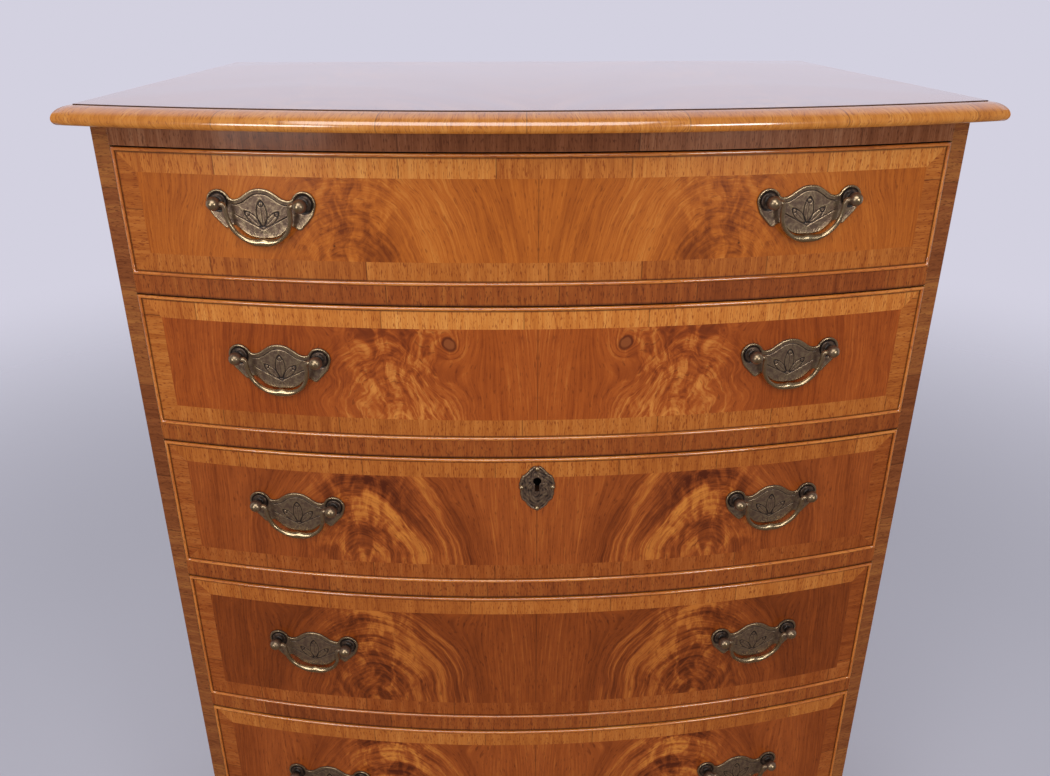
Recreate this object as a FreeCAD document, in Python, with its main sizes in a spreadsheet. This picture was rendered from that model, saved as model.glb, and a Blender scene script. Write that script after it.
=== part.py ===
import FreeCAD, Part
import math
import os
import Sketcher

# Bow front chest of six graduated drawers.
# Frame: origin on the floor under the middle of the chest, +Z up, +X to its right, front towards -Y.
# All sizes are millimetres.

Vector = FreeCAD.Vector
doc = FreeCAD.newDocument("bow_front_chest")

# ---------------------------------------------------------------- driving dimensions
DRIVING = {
    # carcass
    "case_width": 762, "case_depth": 482, "bow_rise": 54.2, "side_thickness": 15.5,
    "back_thickness": 8, "back_rebate": 8, "bottom_thickness": 16,
    "rail_height": 18, "top_rail_height": 19.3, "rail_depth": 42,
    "runner_width": 28, "stop_width": 36, "stop_depth": 14, "stop_height": 5, "stop_place": 150,
    # top and its cross-grained moulding
    "top_thickness": 16, "top_overhang": 3, "top_corner_lead": 17.1, "top_bow_rise": 61,
    "nose_width": 15.5, "nose_height": 4.5, "nose_under": 12.5, "quirk_step": 0.8,
    "back_overhang": 8,
    # base moulding and bracket feet
    "base_height": 26, "base_reach": 14, "ovolo_low": 8, "ovolo_high": 14.5, "ovolo_reach": 9.5,
    "cove_reach": 8, "cove_high": 23, "cove_lip": 3,
    "foot_height": 128, "foot_reach": 10, "foot_board": 18, "foot_length": 150, "foot_toe": 58,
    "foot_lean": 6, "foot_shin": 34, "foot_knee": 84, "foot_cusp": 8, "foot_lip": 12,
    "foot_sweep": 46, "foot_sweep_run": 40, "foot_upper_sweep": 40,
    "rear_return": 110, "glue_block": 34, "glue_block_lift": 4,
    # drawers, outer edge to outer edge of the cock beads
    "drawer_1_height": 112.4, "drawer_2_height": 130.2, "drawer_3_height": 140.9,
    "drawer_4_height": 159, "drawer_5_height": 184, "drawer_6_height": 203,
    "gap_above": 1.2, "gap_under": 0.4, "gap_beside": 0.7,
    "front_thickness": 22, "bead_thickness": 3, "bead_depth": 10, "bead_proud": 1.8,
    "lining_thickness": 10, "lining_drop": 5, "drawer_end_gap": 19,
    "drawer_back_thickness": 9, "drawer_back_drop": 8,
    "drawer_bottom_thickness": 6, "drawer_bottom_lift": 9, "groove_depth": 4,
    # lap dovetails between fronts and sides
    "tail_length": 10, "tail_pitch": 32, "tail_pin": 10, "tail_end": 6, "tail_flare": 2,
    "tail_heel": 3, "socket_run_out": 2,
    # swan-neck handles
    "handle_place": 235, "handle_rise": 13.5, "post_half_spacing": 38,
    "plate_thickness": 1.8, "lobe_radius": 10.5, "plate_crown": 12, "plate_crown_radius": 22,
    "plate_waist_inset": 14, "plate_waist_rise": 2, "ear_neck_reach": 2.6, "ear_neck_drop": 15.5,
    "ear_drop": 25, "ear_toe_inset": 8.4, "ear_toe_drop": 24, "ear_heel_inset": 15.8,
    "ear_heel_drop": 21.5, "plate_hem": 31,
    "ball_stand": 10.5, "ball_radius": 6, "collar_radius": 7.2, "collar_height": 1.6,
    "neck_radius": 3.2, "shank_half": 2.2, "shank_clearance": 0.25,
    "nut_width": 11, "nut_thickness": 3,
    "bail_half_width": 28.5, "bail_drop": 35, "bail_wire_radius": 1.8, "bail_elbow": 3,
    "bail_corner": 16, "grip_radius": 3.2, "grip_half_length": 12, "grip_flat": 5, "grip_root": 1.4,
    "pin_in_ball": 3.5, "pin_clearance": 0.3, "bail_rest_gap": 0.4,
    # lock and escutcheon of the third drawer
    "keyhole_drop": 24, "keyhole_radius": 4, "keyhole_slot_width": 4.4, "keyhole_slot_drop": 11.2,
    "shield_half_width": 17.5, "shield_above": 16.3, "shield_below": 32.2, "shield_thickness": 1.8,
    "shield_shoulder": 8.8, "shield_shoulder_rise": 10, "shield_top_radius": 12,
    "shield_notch": 10.8, "shield_notch_rise": 8, "shield_side_radius": 24,
    "shield_widest_drop": 7, "shield_waist": 15.8, "shield_waist_drop": 11,
    "shield_hip": 10.5, "shield_hip_drop": 23, "shield_hip_radius": 15.5,
    "stud_radius": 2.2, "stud_height": 2, "stud_inset": 1.2,
    "lock_width": 62, "lock_height": 40, "lock_depth": 11, "lock_wall": 2,
    "bolt_width": 20, "bolt_thickness": 5.4, "bolt_height": 16, "bolt_clearance": 0.4,
    "bolt_throw": 6,
}
DRAWERS = range(1, 7)
SIDES = {"left": -1, "right": 1}

sheet = doc.addObject("Spreadsheet::Sheet", "dims")
for row, (alias, number) in enumerate(DRIVING.items(), start=1):
    sheet.set(f"A{row}", alias.replace("_", " "))
    sheet.set(f"B{row}", str(number))
    sheet.setAlias(f"B{row}", alias)
doc.recompute()


def size(alias):
    return f"dims.{alias}"


def value(expression):
    """The number that an expression has now."""
    result = sheet.evalExpression(expression)
    return float(getattr(result, "Value", result))


def arc_y(radius, across):
    """Depth of a bow at a distance across, seen from the centre of its circle."""
    return f"(-sqrt(({radius})^2 - ({across})^2))"


# ---------------------------------------------------------------- places worked out from them
BOW_RADIUS = "((dims.case_width^2 / 4 + dims.bow_rise^2) / (2 * dims.bow_rise))"
TOP_HALF = "(dims.case_width / 2 + dims.top_overhang)"
TOP_RADIUS = f"(({TOP_HALF}^2 + dims.top_bow_rise^2) / (2 * dims.top_bow_rise))"
FRONT_REACH = "(dims.top_corner_lead + dims.top_bow_rise + dims.nose_width)"
STILE_Y = f"(({FRONT_REACH} - dims.case_depth - dims.back_overhang) / 2)"
BOW_Y = f"({STILE_Y} - dims.bow_rise + {BOW_RADIUS})"
TOP_Y = f"({STILE_Y} - dims.top_corner_lead - dims.top_bow_rise + {TOP_RADIUS})"
BACK_Y = f"({STILE_Y} + dims.case_depth)"
PANEL_Y = f"({BACK_Y} - dims.back_thickness)"
STILE_IN_BOW = f"(dims.bow_rise - {BOW_RADIUS})"
CASE_HALF = "(dims.case_width / 2)"
OPENING_HALF = f"({CASE_HALF} - dims.side_thickness)"
DRAWER_HALF = f"({OPENING_HALF} - dims.gap_beside)"
LINING_HALF = f"({DRAWER_HALF} - dims.lining_thickness)"
FRONT_INNER = f"({BOW_RADIUS} - dims.front_thickness)"
BEAD_INNER = f"({BOW_RADIUS} - dims.bead_depth)"
BEAD_OUTER = f"({BOW_RADIUS} + dims.bead_proud)"
DRAWER_BACK = f"({STILE_IN_BOW} + dims.case_depth - dims.back_thickness - dims.drawer_end_gap)"


def rail_z(level):
    """Underside of the rail below drawer number level, counted down from the top."""
    parts = ["dims.foot_height + dims.bottom_thickness"]
    for lower in range(level + 1, len(DRAWERS) + 1):
        parts.append(f"dims.rail_height + dims.gap_under + dims.drawer_{lower}_height + dims.gap_above")
    return "(" + " + ".join(parts) + ")"


def drawer_z(number):
    return f"({rail_z(number)} + dims.rail_height + dims.gap_under)"


TOP_RAIL_Z = f"({drawer_z(1)} + dims.drawer_1_height + dims.gap_above)"
CASE_TOP_Z = f"({TOP_RAIL_Z} + dims.top_rail_height)"


# ---------------------------------------------------------------- modelling steps
def bind(thing, **expressions):
    for name, expression in expressions.items():
        thing.setExpression(name, expression)
    return thing


def put(thing, x="0", y="0", z="0", turn=None):
    """Place an object by expressions, turned about the vertical if asked."""
    thing.setExpression("Placement.Base.x", x)
    thing.setExpression("Placement.Base.y", y)
    thing.setExpression("Placement.Base.z", z)
    if turn is not None:
        thing.setExpression("Placement.Rotation.Angle", turn)
    return thing


def new_sketch(body, plane, lift=None):
    sketch = body.newObject("Sketcher::SketchObject", body.Name + "_outline")
    support = [feature for feature in body.Origin.OriginFeatures if feature.Role == plane][0]
    sketch.AttachmentSupport = [(support, "")]
    sketch.MapMode = "FlatFace"
    if lift is not None:
        sketch.setExpression("AttachmentOffset.Base.z", lift)
    return sketch


def draw(sketch, corners, closed=True):
    """Outline or open path. A corner is (x, y) or (x, y, radius, side): its edge to the next corner
    is then an arc whose centre lies on that side of the way along."""
    points = [Vector(value(corner[0]), value(corner[1]), 0) for corner in corners]
    starts = []
    edges = corners if closed else corners[:-1]
    for index, corner in enumerate(edges):
        begin = points[index]
        end = points[(index + 1) % len(points)]
        if len(corner) == 2:
            sketch.addGeometry(Part.LineSegment(begin, end), False)
            starts.append((1, 2))
            continue
        radius = value(corner[2])
        chord = end - begin
        across = Vector(-chord.y, chord.x, 0) / chord.Length
        reach = math.sqrt(max(radius ** 2 - chord.Length ** 2 / 4, 0))
        leftward = corner[3] == "left"
        centre = (begin + end) / 2 + across * (reach if leftward else -reach)
        angles = [math.atan2(point.y - centre.y, point.x - centre.x) for point in (begin, end)]
        if not leftward:
            angles.reverse()
        circle = Part.Circle(centre, Vector(0, 0, 1), radius)
        sketch.addGeometry(Part.ArcOfCircle(circle, *angles), False)
        starts.append((1, 2) if leftward else (2, 1))
    for index, corner in enumerate(corners):
        edge = min(index, len(edges) - 1)
        end = starts[edge][0] if edge == index else starts[edge][1]
        following = (index + 1) % len(corners)
        if closed or following and following < len(edges):
            sketch.addConstraint(Sketcher.Constraint("Coincident", edge, starts[edge][1],
                                                     following, starts[following][0]))
        for kind, expression in (("DistanceX", corner[0]), ("DistanceY", corner[1])):
            fixed = Sketcher.Constraint(kind, -1, 1, edge, end, value(expression))
            number = sketch.addConstraint(fixed)
            sketch.setExpression(f"Constraints[{number}]", expression)
        if len(corner) > 2:
            number = sketch.addConstraint(Sketcher.Constraint("Radius", edge, value(corner[2])))
            sketch.setExpression(f"Constraints[{number}]", corner[2])
    return sketch


def pad(name, plane, corners, length, lift=None, body=None):
    """A board: an outline on one of the body's planes, padded by a length."""
    body = body or doc.addObject("PartDesign::Body", name)
    sketch = draw(new_sketch(body, plane, lift), corners)
    feature = body.newObject("PartDesign::Pad", name + "_pad")
    feature.Profile = sketch
    feature.setExpression("Length", length)
    sketch.Visibility = False
    return body


def revolve(name, corners, angle="360"):
    """A turned or bowed piece: an outline in the YZ plane, turned about the body's Z axis."""
    body = doc.addObject("PartDesign::Body", name)
    sketch = draw(new_sketch(body, "YZ_Plane"), corners)
    feature = body.newObject("PartDesign::Revolution", name + "_turn")
    feature.Profile = sketch
    feature.ReferenceAxis = (sketch, ["V_Axis"])
    feature.Midplane = True
    feature.setExpression("Angle", angle)
    sketch.Visibility = False
    return body


def box(name, length, width, height, x="0", y="0", z="0"):
    made = doc.addObject("Part::Box", name)
    bind(made, Length=length, Width=width, Height=height)
    return put(made, x, y, z)


def cut(name, base, tool):
    made = doc.addObject("Part::Cut", name)
    made.Base = base
    made.Tool = tool
    return made


def common(name, base, tool):
    made = doc.addObject("Part::Common", name)
    made.Base = base
    made.Tool = tool
    return made


def group(name, *members):
    made = doc.addObject("Part::Compound", name)
    made.Links = list(members)
    return made


def mirror(name, source):
    """The same piece for the other side of the chest."""
    made = doc.addObject("Part::Mirroring", name)
    made.Source = source
    made.Normal = Vector(1, 0, 0)
    return made


TURNED_SIDES = 8


def prism(name, radius, height, sides=TURNED_SIDES):
    """Small bar or hole of few faces, standing on its own Z axis."""
    made = doc.addObject("Part::Prism", name)
    made.Polygon = sides
    return bind(made, Circumradius=radius, Height=height)


def turned(name, rings):
    """Small turned piece of few faces: eight-sided rings of a radius at a height, joined in order."""
    loops = []
    for radius, height in rings:
        reach, level = value(radius), value(height)
        corners = [Vector(reach, 0, level)]
        for index in range(1, TURNED_SIDES):
            angle = 2 * math.pi * index / TURNED_SIDES
            corners.append(Vector(reach * math.cos(angle), reach * math.sin(angle), level))
        loops.append(corners)
    outlines = [loops[0], loops[-1]]
    for low, high in zip(loops, loops[1:]):
        for index in range(TURNED_SIDES):
            following = (index + 1) % TURNED_SIDES
            outlines.append([low[index], low[following], high[following], high[index]])
    faces = [Part.Face(Part.makePolygon(outline + outline[:1])) for outline in outlines]
    solid = Part.makeSolid(Part.makeShell(faces))
    if solid.Volume < 0:
        solid.reverse()
    made = doc.addObject("Part::Feature", name)
    made.Shape = solid
    return made


def fuse(name, *members):
    made = doc.addObject("Part::MultiFuse", name)
    made.Shapes = list(members)
    return made


def aim(thing, axis):
    """Turn a piece's own Z axis to a direction."""
    thing.Placement = FreeCAD.Placement(Vector(), FreeCAD.Rotation(Vector(0, 0, 1), Vector(*axis)))
    return thing


def bowed(half, outer, inner):
    """Plan of a board bent to the bow, seen from the centre of the bow's circle."""
    return [(f"-{half}", arc_y(outer, half), outer, "left"), (half, arc_y(outer, half)),
            (half, arc_y(inner, half), inner, "right"), (f"-{half}", arc_y(inner, half))]


def bow_fronted(half, outer, back):
    """Plan of a board with a bowed front edge and a straight back edge."""
    return [(f"-{half}", arc_y(outer, half), outer, "left"), (half, arc_y(outer, half)),
            (half, back), (f"-{half}", back)]


nodes = {}


def keep(node, thing):
    thing.Label = node
    nodes[node] = thing
    return thing


# ---------------------------------------------------------------- carcass
# Each side is one board with its front edge on the bow and a rebate for the back panel.
side_plan = [
    (OPENING_HALF, arc_y(BOW_RADIUS, OPENING_HALF), BOW_RADIUS, "left"),
    (CASE_HALF, arc_y(BOW_RADIUS, CASE_HALF)),
    (CASE_HALF, f"{STILE_IN_BOW} + dims.case_depth"),
    (f"{OPENING_HALF} + dims.back_rebate", f"{STILE_IN_BOW} + dims.case_depth"),
    (f"{OPENING_HALF} + dims.back_rebate", f"{STILE_IN_BOW} + dims.case_depth - dims.back_thickness"),
    (OPENING_HALF, f"{STILE_IN_BOW} + dims.case_depth - dims.back_thickness"),
]
right_side = pad("right_side", "XY_Plane", side_plan, f"{CASE_TOP_Z} - dims.foot_height")
put(right_side, y=BOW_Y, z=size("foot_height"))
keep("case_sides", group("case_side_pair", right_side, mirror("left_side", right_side)))

bottom = pad("bottom", "XY_Plane",
             bow_fronted(OPENING_HALF, BOW_RADIUS, f"{STILE_IN_BOW} + dims.case_depth - dims.back_thickness"),
             size("bottom_thickness"))
keep("bottom_board", put(bottom, y=BOW_Y, z=size("foot_height")))

PANEL_HALF = f"({OPENING_HALF} + dims.back_rebate)"
keep("back_panel", box("back", f"2 * {PANEL_HALF}", size("back_thickness"),
                       f"{CASE_TOP_Z} - dims.foot_height",
                       f"-{PANEL_HALF}", PANEL_Y, size("foot_height")))


# Rails between the drawers are flush with the bow. The one over the third drawer takes its bolt.
def rail(name, height, z):
    plan = bow_fronted(OPENING_HALF, BOW_RADIUS, f"{STILE_IN_BOW} + dims.rail_depth")
    return put(pad(name, "XY_Plane", plan, height), y=BOW_Y, z=z)


LOCKED_DRAWER = 3
BOLT_Y = f"({BOW_Y} - {FRONT_INNER} - dims.lock_depth / 2)"
MORTISE_HALF = "(dims.bolt_width / 2 + dims.bolt_clearance)"
MORTISE_WIDTH = "(dims.bolt_thickness + 2 * dims.bolt_clearance)"

rails = [rail("top_rail", size("top_rail_height"), TOP_RAIL_Z)]
for number in DRAWERS:
    made = rail(f"rail_{number}", size("rail_height"), rail_z(number))
    if number == LOCKED_DRAWER - 1:
        mortise = box("bolt_mortise", f"2 * {MORTISE_HALF}", MORTISE_WIDTH,
                      "dims.bolt_throw + 2 * dims.bolt_clearance",
                      f"-{MORTISE_HALF}", f"{BOLT_Y} - {MORTISE_WIDTH} / 2", rail_z(number))
        made = cut("mortised_rail", made, mortise)
    rails.append(made)
keep("front_rails", group("rail_set", *rails))

# Each drawer runs on two bearers behind its rail, and stops against two blocks on the rail.
RUNNER_Y = f"({STILE_Y} + dims.rail_depth)"
STOP_FAR = "(dims.stop_place + dims.stop_width / 2)"
STOP_Y = f"({BOW_Y} + {arc_y(FRONT_INNER, STOP_FAR)} + dims.gap_under)"
runners = []
levels = [("kicker", TOP_RAIL_Z, size("top_rail_height"))]
levels += [(f"runner_{number}", rail_z(number), size("rail_height")) for number in DRAWERS]
for name, z, height in levels:
    made = box(name, size("runner_width"), f"{PANEL_Y} - {RUNNER_Y}", height,
               f"{OPENING_HALF} - dims.runner_width", RUNNER_Y, z)
    runners += [made, mirror(name + "_left", made)]
    if name != "kicker":
        stop = box(name + "_stop", size("stop_width"), size("stop_depth"), size("stop_height"),
                   "dims.stop_place - dims.stop_width / 2", STOP_Y, f"{z} + dims.rail_height")
        runners += [stop, mirror(name + "_stop_left", stop)]
keep("drawer_runners", group("runner_set", *runners))


# ---------------------------------------------------------------- mitred mouldings
MITRE_RUN = 10


def mitre_wedge(name, half, corner_y, reach, nose_y, height):
    """What lies between the two front mitres, from the corners of the board outwards."""
    far_x = f"({half} + {MITRE_RUN} * {reach})"
    far_y = f"({corner_y} + {MITRE_RUN} * ({nose_y} - {corner_y}))"
    plan = [(f"-{half}", corner_y), (f"-{far_x}", far_y), (far_x, far_y), (half, corner_y)]
    return pad(name, "XY_Plane", plan, height)


def band(name, section, half, radius, centre_y, back_y, reach, height, z):
    """A moulding round the front and both sides: a bowed length and two straight ones, mitred."""
    corner_y = f"({centre_y} + {arc_y(radius, half)})"
    nose_y = f"({centre_y} + {arc_y(f'{radius} + {reach}', f'{half} + {reach}')})"
    wedge = put(mitre_wedge(name + "_mitre", half, corner_y, reach, nose_y, height), z=z)
    turned_section = [(f"-({radius} + {reach_out})", level) for reach_out, level in section]
    sweep = f"2 * asin(({half} + 2 * {reach}) / {radius})"
    front = put(revolve(name + "_bow", turned_section, sweep), y=centre_y, z=z)
    straight = [(f"{half} + {reach_out}", level) for reach_out, level in section]
    side = pad(name + "_straight", "XZ_Plane", straight, f"{back_y} - {nose_y}")
    put(side, y=back_y, z=z)
    right = cut(name + "_right", side, wedge)
    return [common(name + "_front", front, wedge), right, mirror(name + "_left", right)]


# The top is a veneered board edged with a thumb moulding, a small quirk below its surface.
top = pad("top", "XY_Plane",
          bow_fronted(TOP_HALF, TOP_RADIUS, f"{BACK_Y} + dims.back_overhang - {TOP_Y}"),
          size("top_thickness"))
keep("top_board", put(top, y=TOP_Y, z=CASE_TOP_Z))
THUMB_RISE = "(dims.top_thickness - dims.quirk_step - dims.nose_height)"
thumb = [("0", "0"), (size("nose_under"), "0")]
thumb += [(f"dims.nose_width * cos({angle})", f"dims.nose_height + {THUMB_RISE} * sin({angle})")
          for angle in (0, 30, 60)]
thumb += [("0", "dims.top_thickness - dims.quirk_step")]
keep("top_moulding", group("top_moulding_set", *band(
    "thumb", thumb, TOP_HALF, TOP_RADIUS, TOP_Y, f"({BACK_Y} + dims.back_overhang)",
    size("nose_width"), size("top_thickness"), CASE_TOP_Z)))

# The base moulding is an ovolo under a cove, each a quarter of an ellipse.
ogee = [("0", "0"), (size("base_reach"), "0")]
ogee += [(f"dims.ovolo_reach + (dims.base_reach - dims.ovolo_reach) * cos({angle})",
          f"dims.ovolo_low + (dims.ovolo_high - dims.ovolo_low) * sin({angle})") for angle in (0, 45, 90)]
ogee += [(f"dims.cove_reach - (dims.cove_reach - dims.cove_lip) * sin({angle})",
          f"dims.cove_high - (dims.cove_high - dims.ovolo_high) * cos({angle})") for angle in (0, 45, 90)]
ogee += [(size("cove_lip"), size("base_height")), ("0", size("base_height"))]
keep("base_moulding", group("base_moulding_set", *band(
    "ogee", ogee, CASE_HALF, BOW_RADIUS, BOW_Y, BACK_Y, size("base_reach"),
    size("base_height"), size("foot_height"))))


# ---------------------------------------------------------------- bracket feet
def bracket(corner, inward):
    """Outline of a bracket from its corner inwards: toe, shin, two sweeps with a cusp, and lip."""
    def along(run):
        return f"({corner} + ({inward}) * ({run}))"
    knee = "dims.foot_toe + dims.foot_lean + dims.foot_sweep_run"
    side = "left" if inward == "-1" else "right"
    return [
        (along("0"), "0"), (along("0"), size("foot_height")),
        (along("dims.foot_length"), size("foot_height")),
        (along("dims.foot_length"), "dims.foot_height - dims.foot_lip", size("foot_upper_sweep"), side),
        (along(f"{knee} + dims.foot_cusp"), size("foot_knee")),
        (along(knee), size("foot_knee"), size("foot_sweep"), side),
        (along("dims.foot_toe + dims.foot_lean"), size("foot_shin")),
        (along("dims.foot_toe"), "0"),
    ]


FOOT_RADIUS = f"({BOW_RADIUS} + dims.foot_reach)"
FOOT_HALF = f"({CASE_HALF} + dims.foot_reach)"
FOOT_INNER = f"({FOOT_RADIUS} - dims.foot_board)"
FOOT_CORNER_Y = f"({BOW_Y} + {arc_y(FOOT_RADIUS, FOOT_HALF)})"
INNER_CORNER_Y = f"({BOW_Y} + {arc_y(FOOT_INNER, f'{FOOT_HALF} - dims.foot_board')})"
foot_wedge = mitre_wedge("foot_mitre", f"({FOOT_HALF} - dims.foot_board)", INNER_CORNER_Y,
                         size("foot_board"), FOOT_CORNER_Y, size("foot_height"))
bent = put(pad("front_bracket_board", "XY_Plane", bowed(FOOT_HALF, FOOT_RADIUS, FOOT_INNER),
               size("foot_height")), y=BOW_Y)
front_shape = put(pad("front_bracket_shape", "XZ_Plane", bracket(FOOT_HALF, "-1"), "dims.case_depth / 2"))
shaped = common("front_bracket_shaped", bent, front_shape)
front_bracket = common("front_bracket", shaped, foot_wedge)
side_shape = pad("side_bracket_shape", "YZ_Plane", bracket(FOOT_CORNER_Y, "1"), size("foot_board"))
side_bracket = cut("side_bracket", put(side_shape, x=f"{FOOT_HALF} - dims.foot_board"), foot_wedge)
rear_shape = pad("rear_bracket_shape", "YZ_Plane", bracket(BACK_Y, "-1"), size("foot_board"))
put(rear_shape, x=f"{FOOT_HALF} - dims.foot_board")
REAR_EDGE = f"({FOOT_HALF} - dims.foot_board)"
return_shape = [
    (REAR_EDGE, "0"), (REAR_EDGE, size("foot_height")),
    (f"{REAR_EDGE} - dims.rear_return", size("foot_height")), (f"{REAR_EDGE} - dims.foot_toe", "0"),
]
rear_return = put(pad("rear_return_board", "XZ_Plane", return_shape, size("foot_board")), y=BACK_Y)
BLOCK_X = f"({REAR_EDGE} - dims.glue_block)"
BLOCK_HEIGHT = "dims.foot_height - dims.glue_block_lift"
BLOCK_FRONT_Y = f"({BOW_Y} + {arc_y(FOOT_INNER, BLOCK_X)})"
front_block = box("front_block", size("glue_block"), size("glue_block"), BLOCK_HEIGHT,
                  BLOCK_X, f"{BOW_Y} + {arc_y(FOOT_INNER, REAR_EDGE)}", size("glue_block_lift"))
rear_block = box("rear_block", size("glue_block"), size("glue_block"), BLOCK_HEIGHT,
                 BLOCK_X, f"{BACK_Y} - dims.foot_board - dims.glue_block", size("glue_block_lift"))
feet = []
for made in (front_bracket, side_bracket, rear_shape, rear_return, front_block, rear_block):
    feet += [made, mirror(made.Name + "_left", made)]
keep("bracket_feet", group("foot_set", *feet))

# ---------------------------------------------------------------- swan-neck handle, made once
# Its own frame: X along the plate, Z up, the drawer's surface at Y = 0 and the hand's side at -Y.
POST = size("post_half_spacing")
LOBE = size("lobe_radius")


def chords(x, z, radius, angles):
    """Corners of a small arc cut into a few flats, at angles from +X about a centre."""
    return [(f"{x} + {radius} * cos({angle})", f"{z} + {radius} * sin({angle})") for angle in angles]


def both_halves(half):
    """A whole outline from its right half, which starts and ends on the middle line."""
    outline = list(half[:-1])
    outline.append(half[-1] + half[-2][2:])
    for index in range(len(half) - 2, 0, -1):
        x, z = half[index][:2]
        outline.append((f"-({x})", z) + half[index - 1][2:])
    return outline


CROWN = size("plate_crown_radius")
plate_half = chords("0", f"dims.plate_crown - {CROWN}", CROWN, (90, 72, 52))
plate_half += [(f"{POST} - dims.plate_waist_inset", size("plate_waist_rise"))]
plate_half += chords(POST, "0", LOBE, (150, 90, 45, 0, -45))
plate_half += [(f"{POST} + dims.ear_neck_reach", "-dims.ear_neck_drop"), (POST, "-dims.ear_drop"),
               (f"{POST} - dims.ear_toe_inset", "-dims.ear_toe_drop"),
               (f"{POST} - dims.ear_heel_inset", "-dims.ear_heel_drop")]
plate_half += chords("0", f"{CROWN} - dims.plate_hem", CROWN, (-50, -70, -90))
plate_outline = both_halves(plate_half)
plate = pad("handle_plate", "XZ_Plane", plate_outline, size("plate_thickness"))

# A post is a square shank through the front, and a collar, neck and ball with a blind hole for the bail.
# Its nut bears on the hollow back of the front, at the nut's outer edge.
SHANK = size("shank_half")
WIRE = size("bail_wire_radius")
HOLE_FLOOR = f"({POST} - dims.ball_radius + dims.pin_in_ball + dims.pin_clearance)"
BALL_RINGS = (-25, 15, 55)
rings = [(size("collar_radius"), size("plate_thickness")),
         (size("neck_radius"), "dims.plate_thickness + dims.collar_height"),
         (size("neck_radius"), "dims.ball_stand - sqrt(dims.ball_radius^2 - dims.neck_radius^2)")]
rings += [(f"dims.ball_radius * cos({angle})", f"dims.ball_stand + dims.ball_radius * sin({angle})")
          for angle in BALL_RINGS]
knob = put(aim(turned("post_knob", rings), (0, -1, 0)), x=POST)
NUT_SEAT = f"(dims.front_thickness + {FRONT_INNER} - sqrt({FRONT_INNER}^2 - ({POST} + dims.nut_width / 2)^2))"
shank = box("post_shank", f"2 * {SHANK}", f"{NUT_SEAT} + dims.plate_thickness", f"2 * {SHANK}",
            f"{POST} - {SHANK}", "-dims.plate_thickness", f"-{SHANK}")
pin_hole = put(aim(prism("pin_hole", f"{WIRE} + dims.pin_clearance", HOLE_FLOOR), (1, 0, 0)),
               y=f"-{size('ball_stand')}")
post = cut("post", fuse("solid_post", knob, shank), pin_hole)
HOLE = f"({SHANK} + dims.shank_clearance)"
post_hole = box("post_hole", f"2 * {HOLE}", "dims.front_thickness * 2", f"2 * {HOLE}",
                f"{POST} - {HOLE}", "-dims.front_thickness / 2", f"-{HOLE}")
post_holes = group("post_holes", post_hole, mirror("post_hole_left", post_hole))
pierced_plate = cut("pierced_plate", plate, post_holes)
nut = put(aim(prism("nut", "dims.nut_width / 2", size("nut_thickness"), 6), (0, 1, 0)),
          x=POST, y=NUT_SEAT)
fittings = group("handle_fittings", pierced_plate, post, mirror("post_left", post),
                 nut, mirror("nut_left", nut))

# The bail is a bent rod with a thicker grip; its ends turn outwards into the balls.
ARM = size("bail_half_width")
DROP = size("bail_drop")
PIN_END = f"({POST} - dims.ball_radius + dims.pin_in_ball)"
half_path = [(PIN_END, "0"), (f"{ARM} + dims.bail_elbow", "0"), (ARM, "-dims.bail_elbow")]
for turn in (0, 45, 90):
    half_path.append((f"{ARM} + dims.bail_corner * (cos({turn}) - 1)",
                      f"dims.bail_corner * (1 - sin({turn})) - {DROP}"))
rod = doc.addObject("PartDesign::Body", "bail_rod")
path = draw(new_sketch(rod, "XZ_Plane"),
            half_path + [(f"-({x})", z) for x, z in reversed(half_path)], closed=False)
ROD_TURN = 60
ring = [(f"{WIRE} * cos({turn})", f"{WIRE} * sin({turn})") for turn in range(0, 360, ROD_TURN)]
section = draw(new_sketch(rod, "YZ_Plane", PIN_END), ring)
bend = rod.newObject("PartDesign::AdditivePipe", "bail_bend")
bend.Profile = section
bend.Spine = path
bend.Transition = "Right corner"
GRIP = size("grip_half_length")
grip_rings = [(size("grip_root"), f"-{GRIP}"), (size("grip_radius"), "-dims.grip_flat"),
              (size("grip_radius"), size("grip_flat")), (size("grip_root"), GRIP)]
grip = put(aim(turned("bail_grip", grip_rings), (1, 0, 0)), z=f"-{DROP}")
whole_bail = fuse("whole_bail", rod, grip)

# At rest the bail leans in until its grip lies just off the plate.
LEAN_IN = "(dims.ball_stand - dims.plate_thickness - dims.grip_radius - dims.bail_rest_gap)"
BAIL_LEAN = f"asin({LEAN_IN} / dims.bail_drop)"
leaning = group("leaning_bail", whole_bail)
leaning.Placement = FreeCAD.Placement(Vector(), FreeCAD.Rotation(Vector(1, 0, 0), 5))
put(leaning, y=f"-{size('ball_stand')}", turn=BAIL_LEAN)

HANDLE_TURN = f"asin(dims.handle_place / {BOW_RADIUS})"
HANDLE_Y = f"{BOW_Y} - sqrt({BOW_RADIUS}^2 - dims.handle_place^2)"
handle_sets = {}
for side, sign in SIDES.items():
    for what, source in (("fittings", fittings), ("bail", leaning), ("holes", post_holes)):
        made = group(f"{what}_{side}", source)
        put(made, f"{sign} * dims.handle_place", HANDLE_Y, "0", f"{sign} * {HANDLE_TURN}")
        handle_sets[what, side] = made

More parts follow.
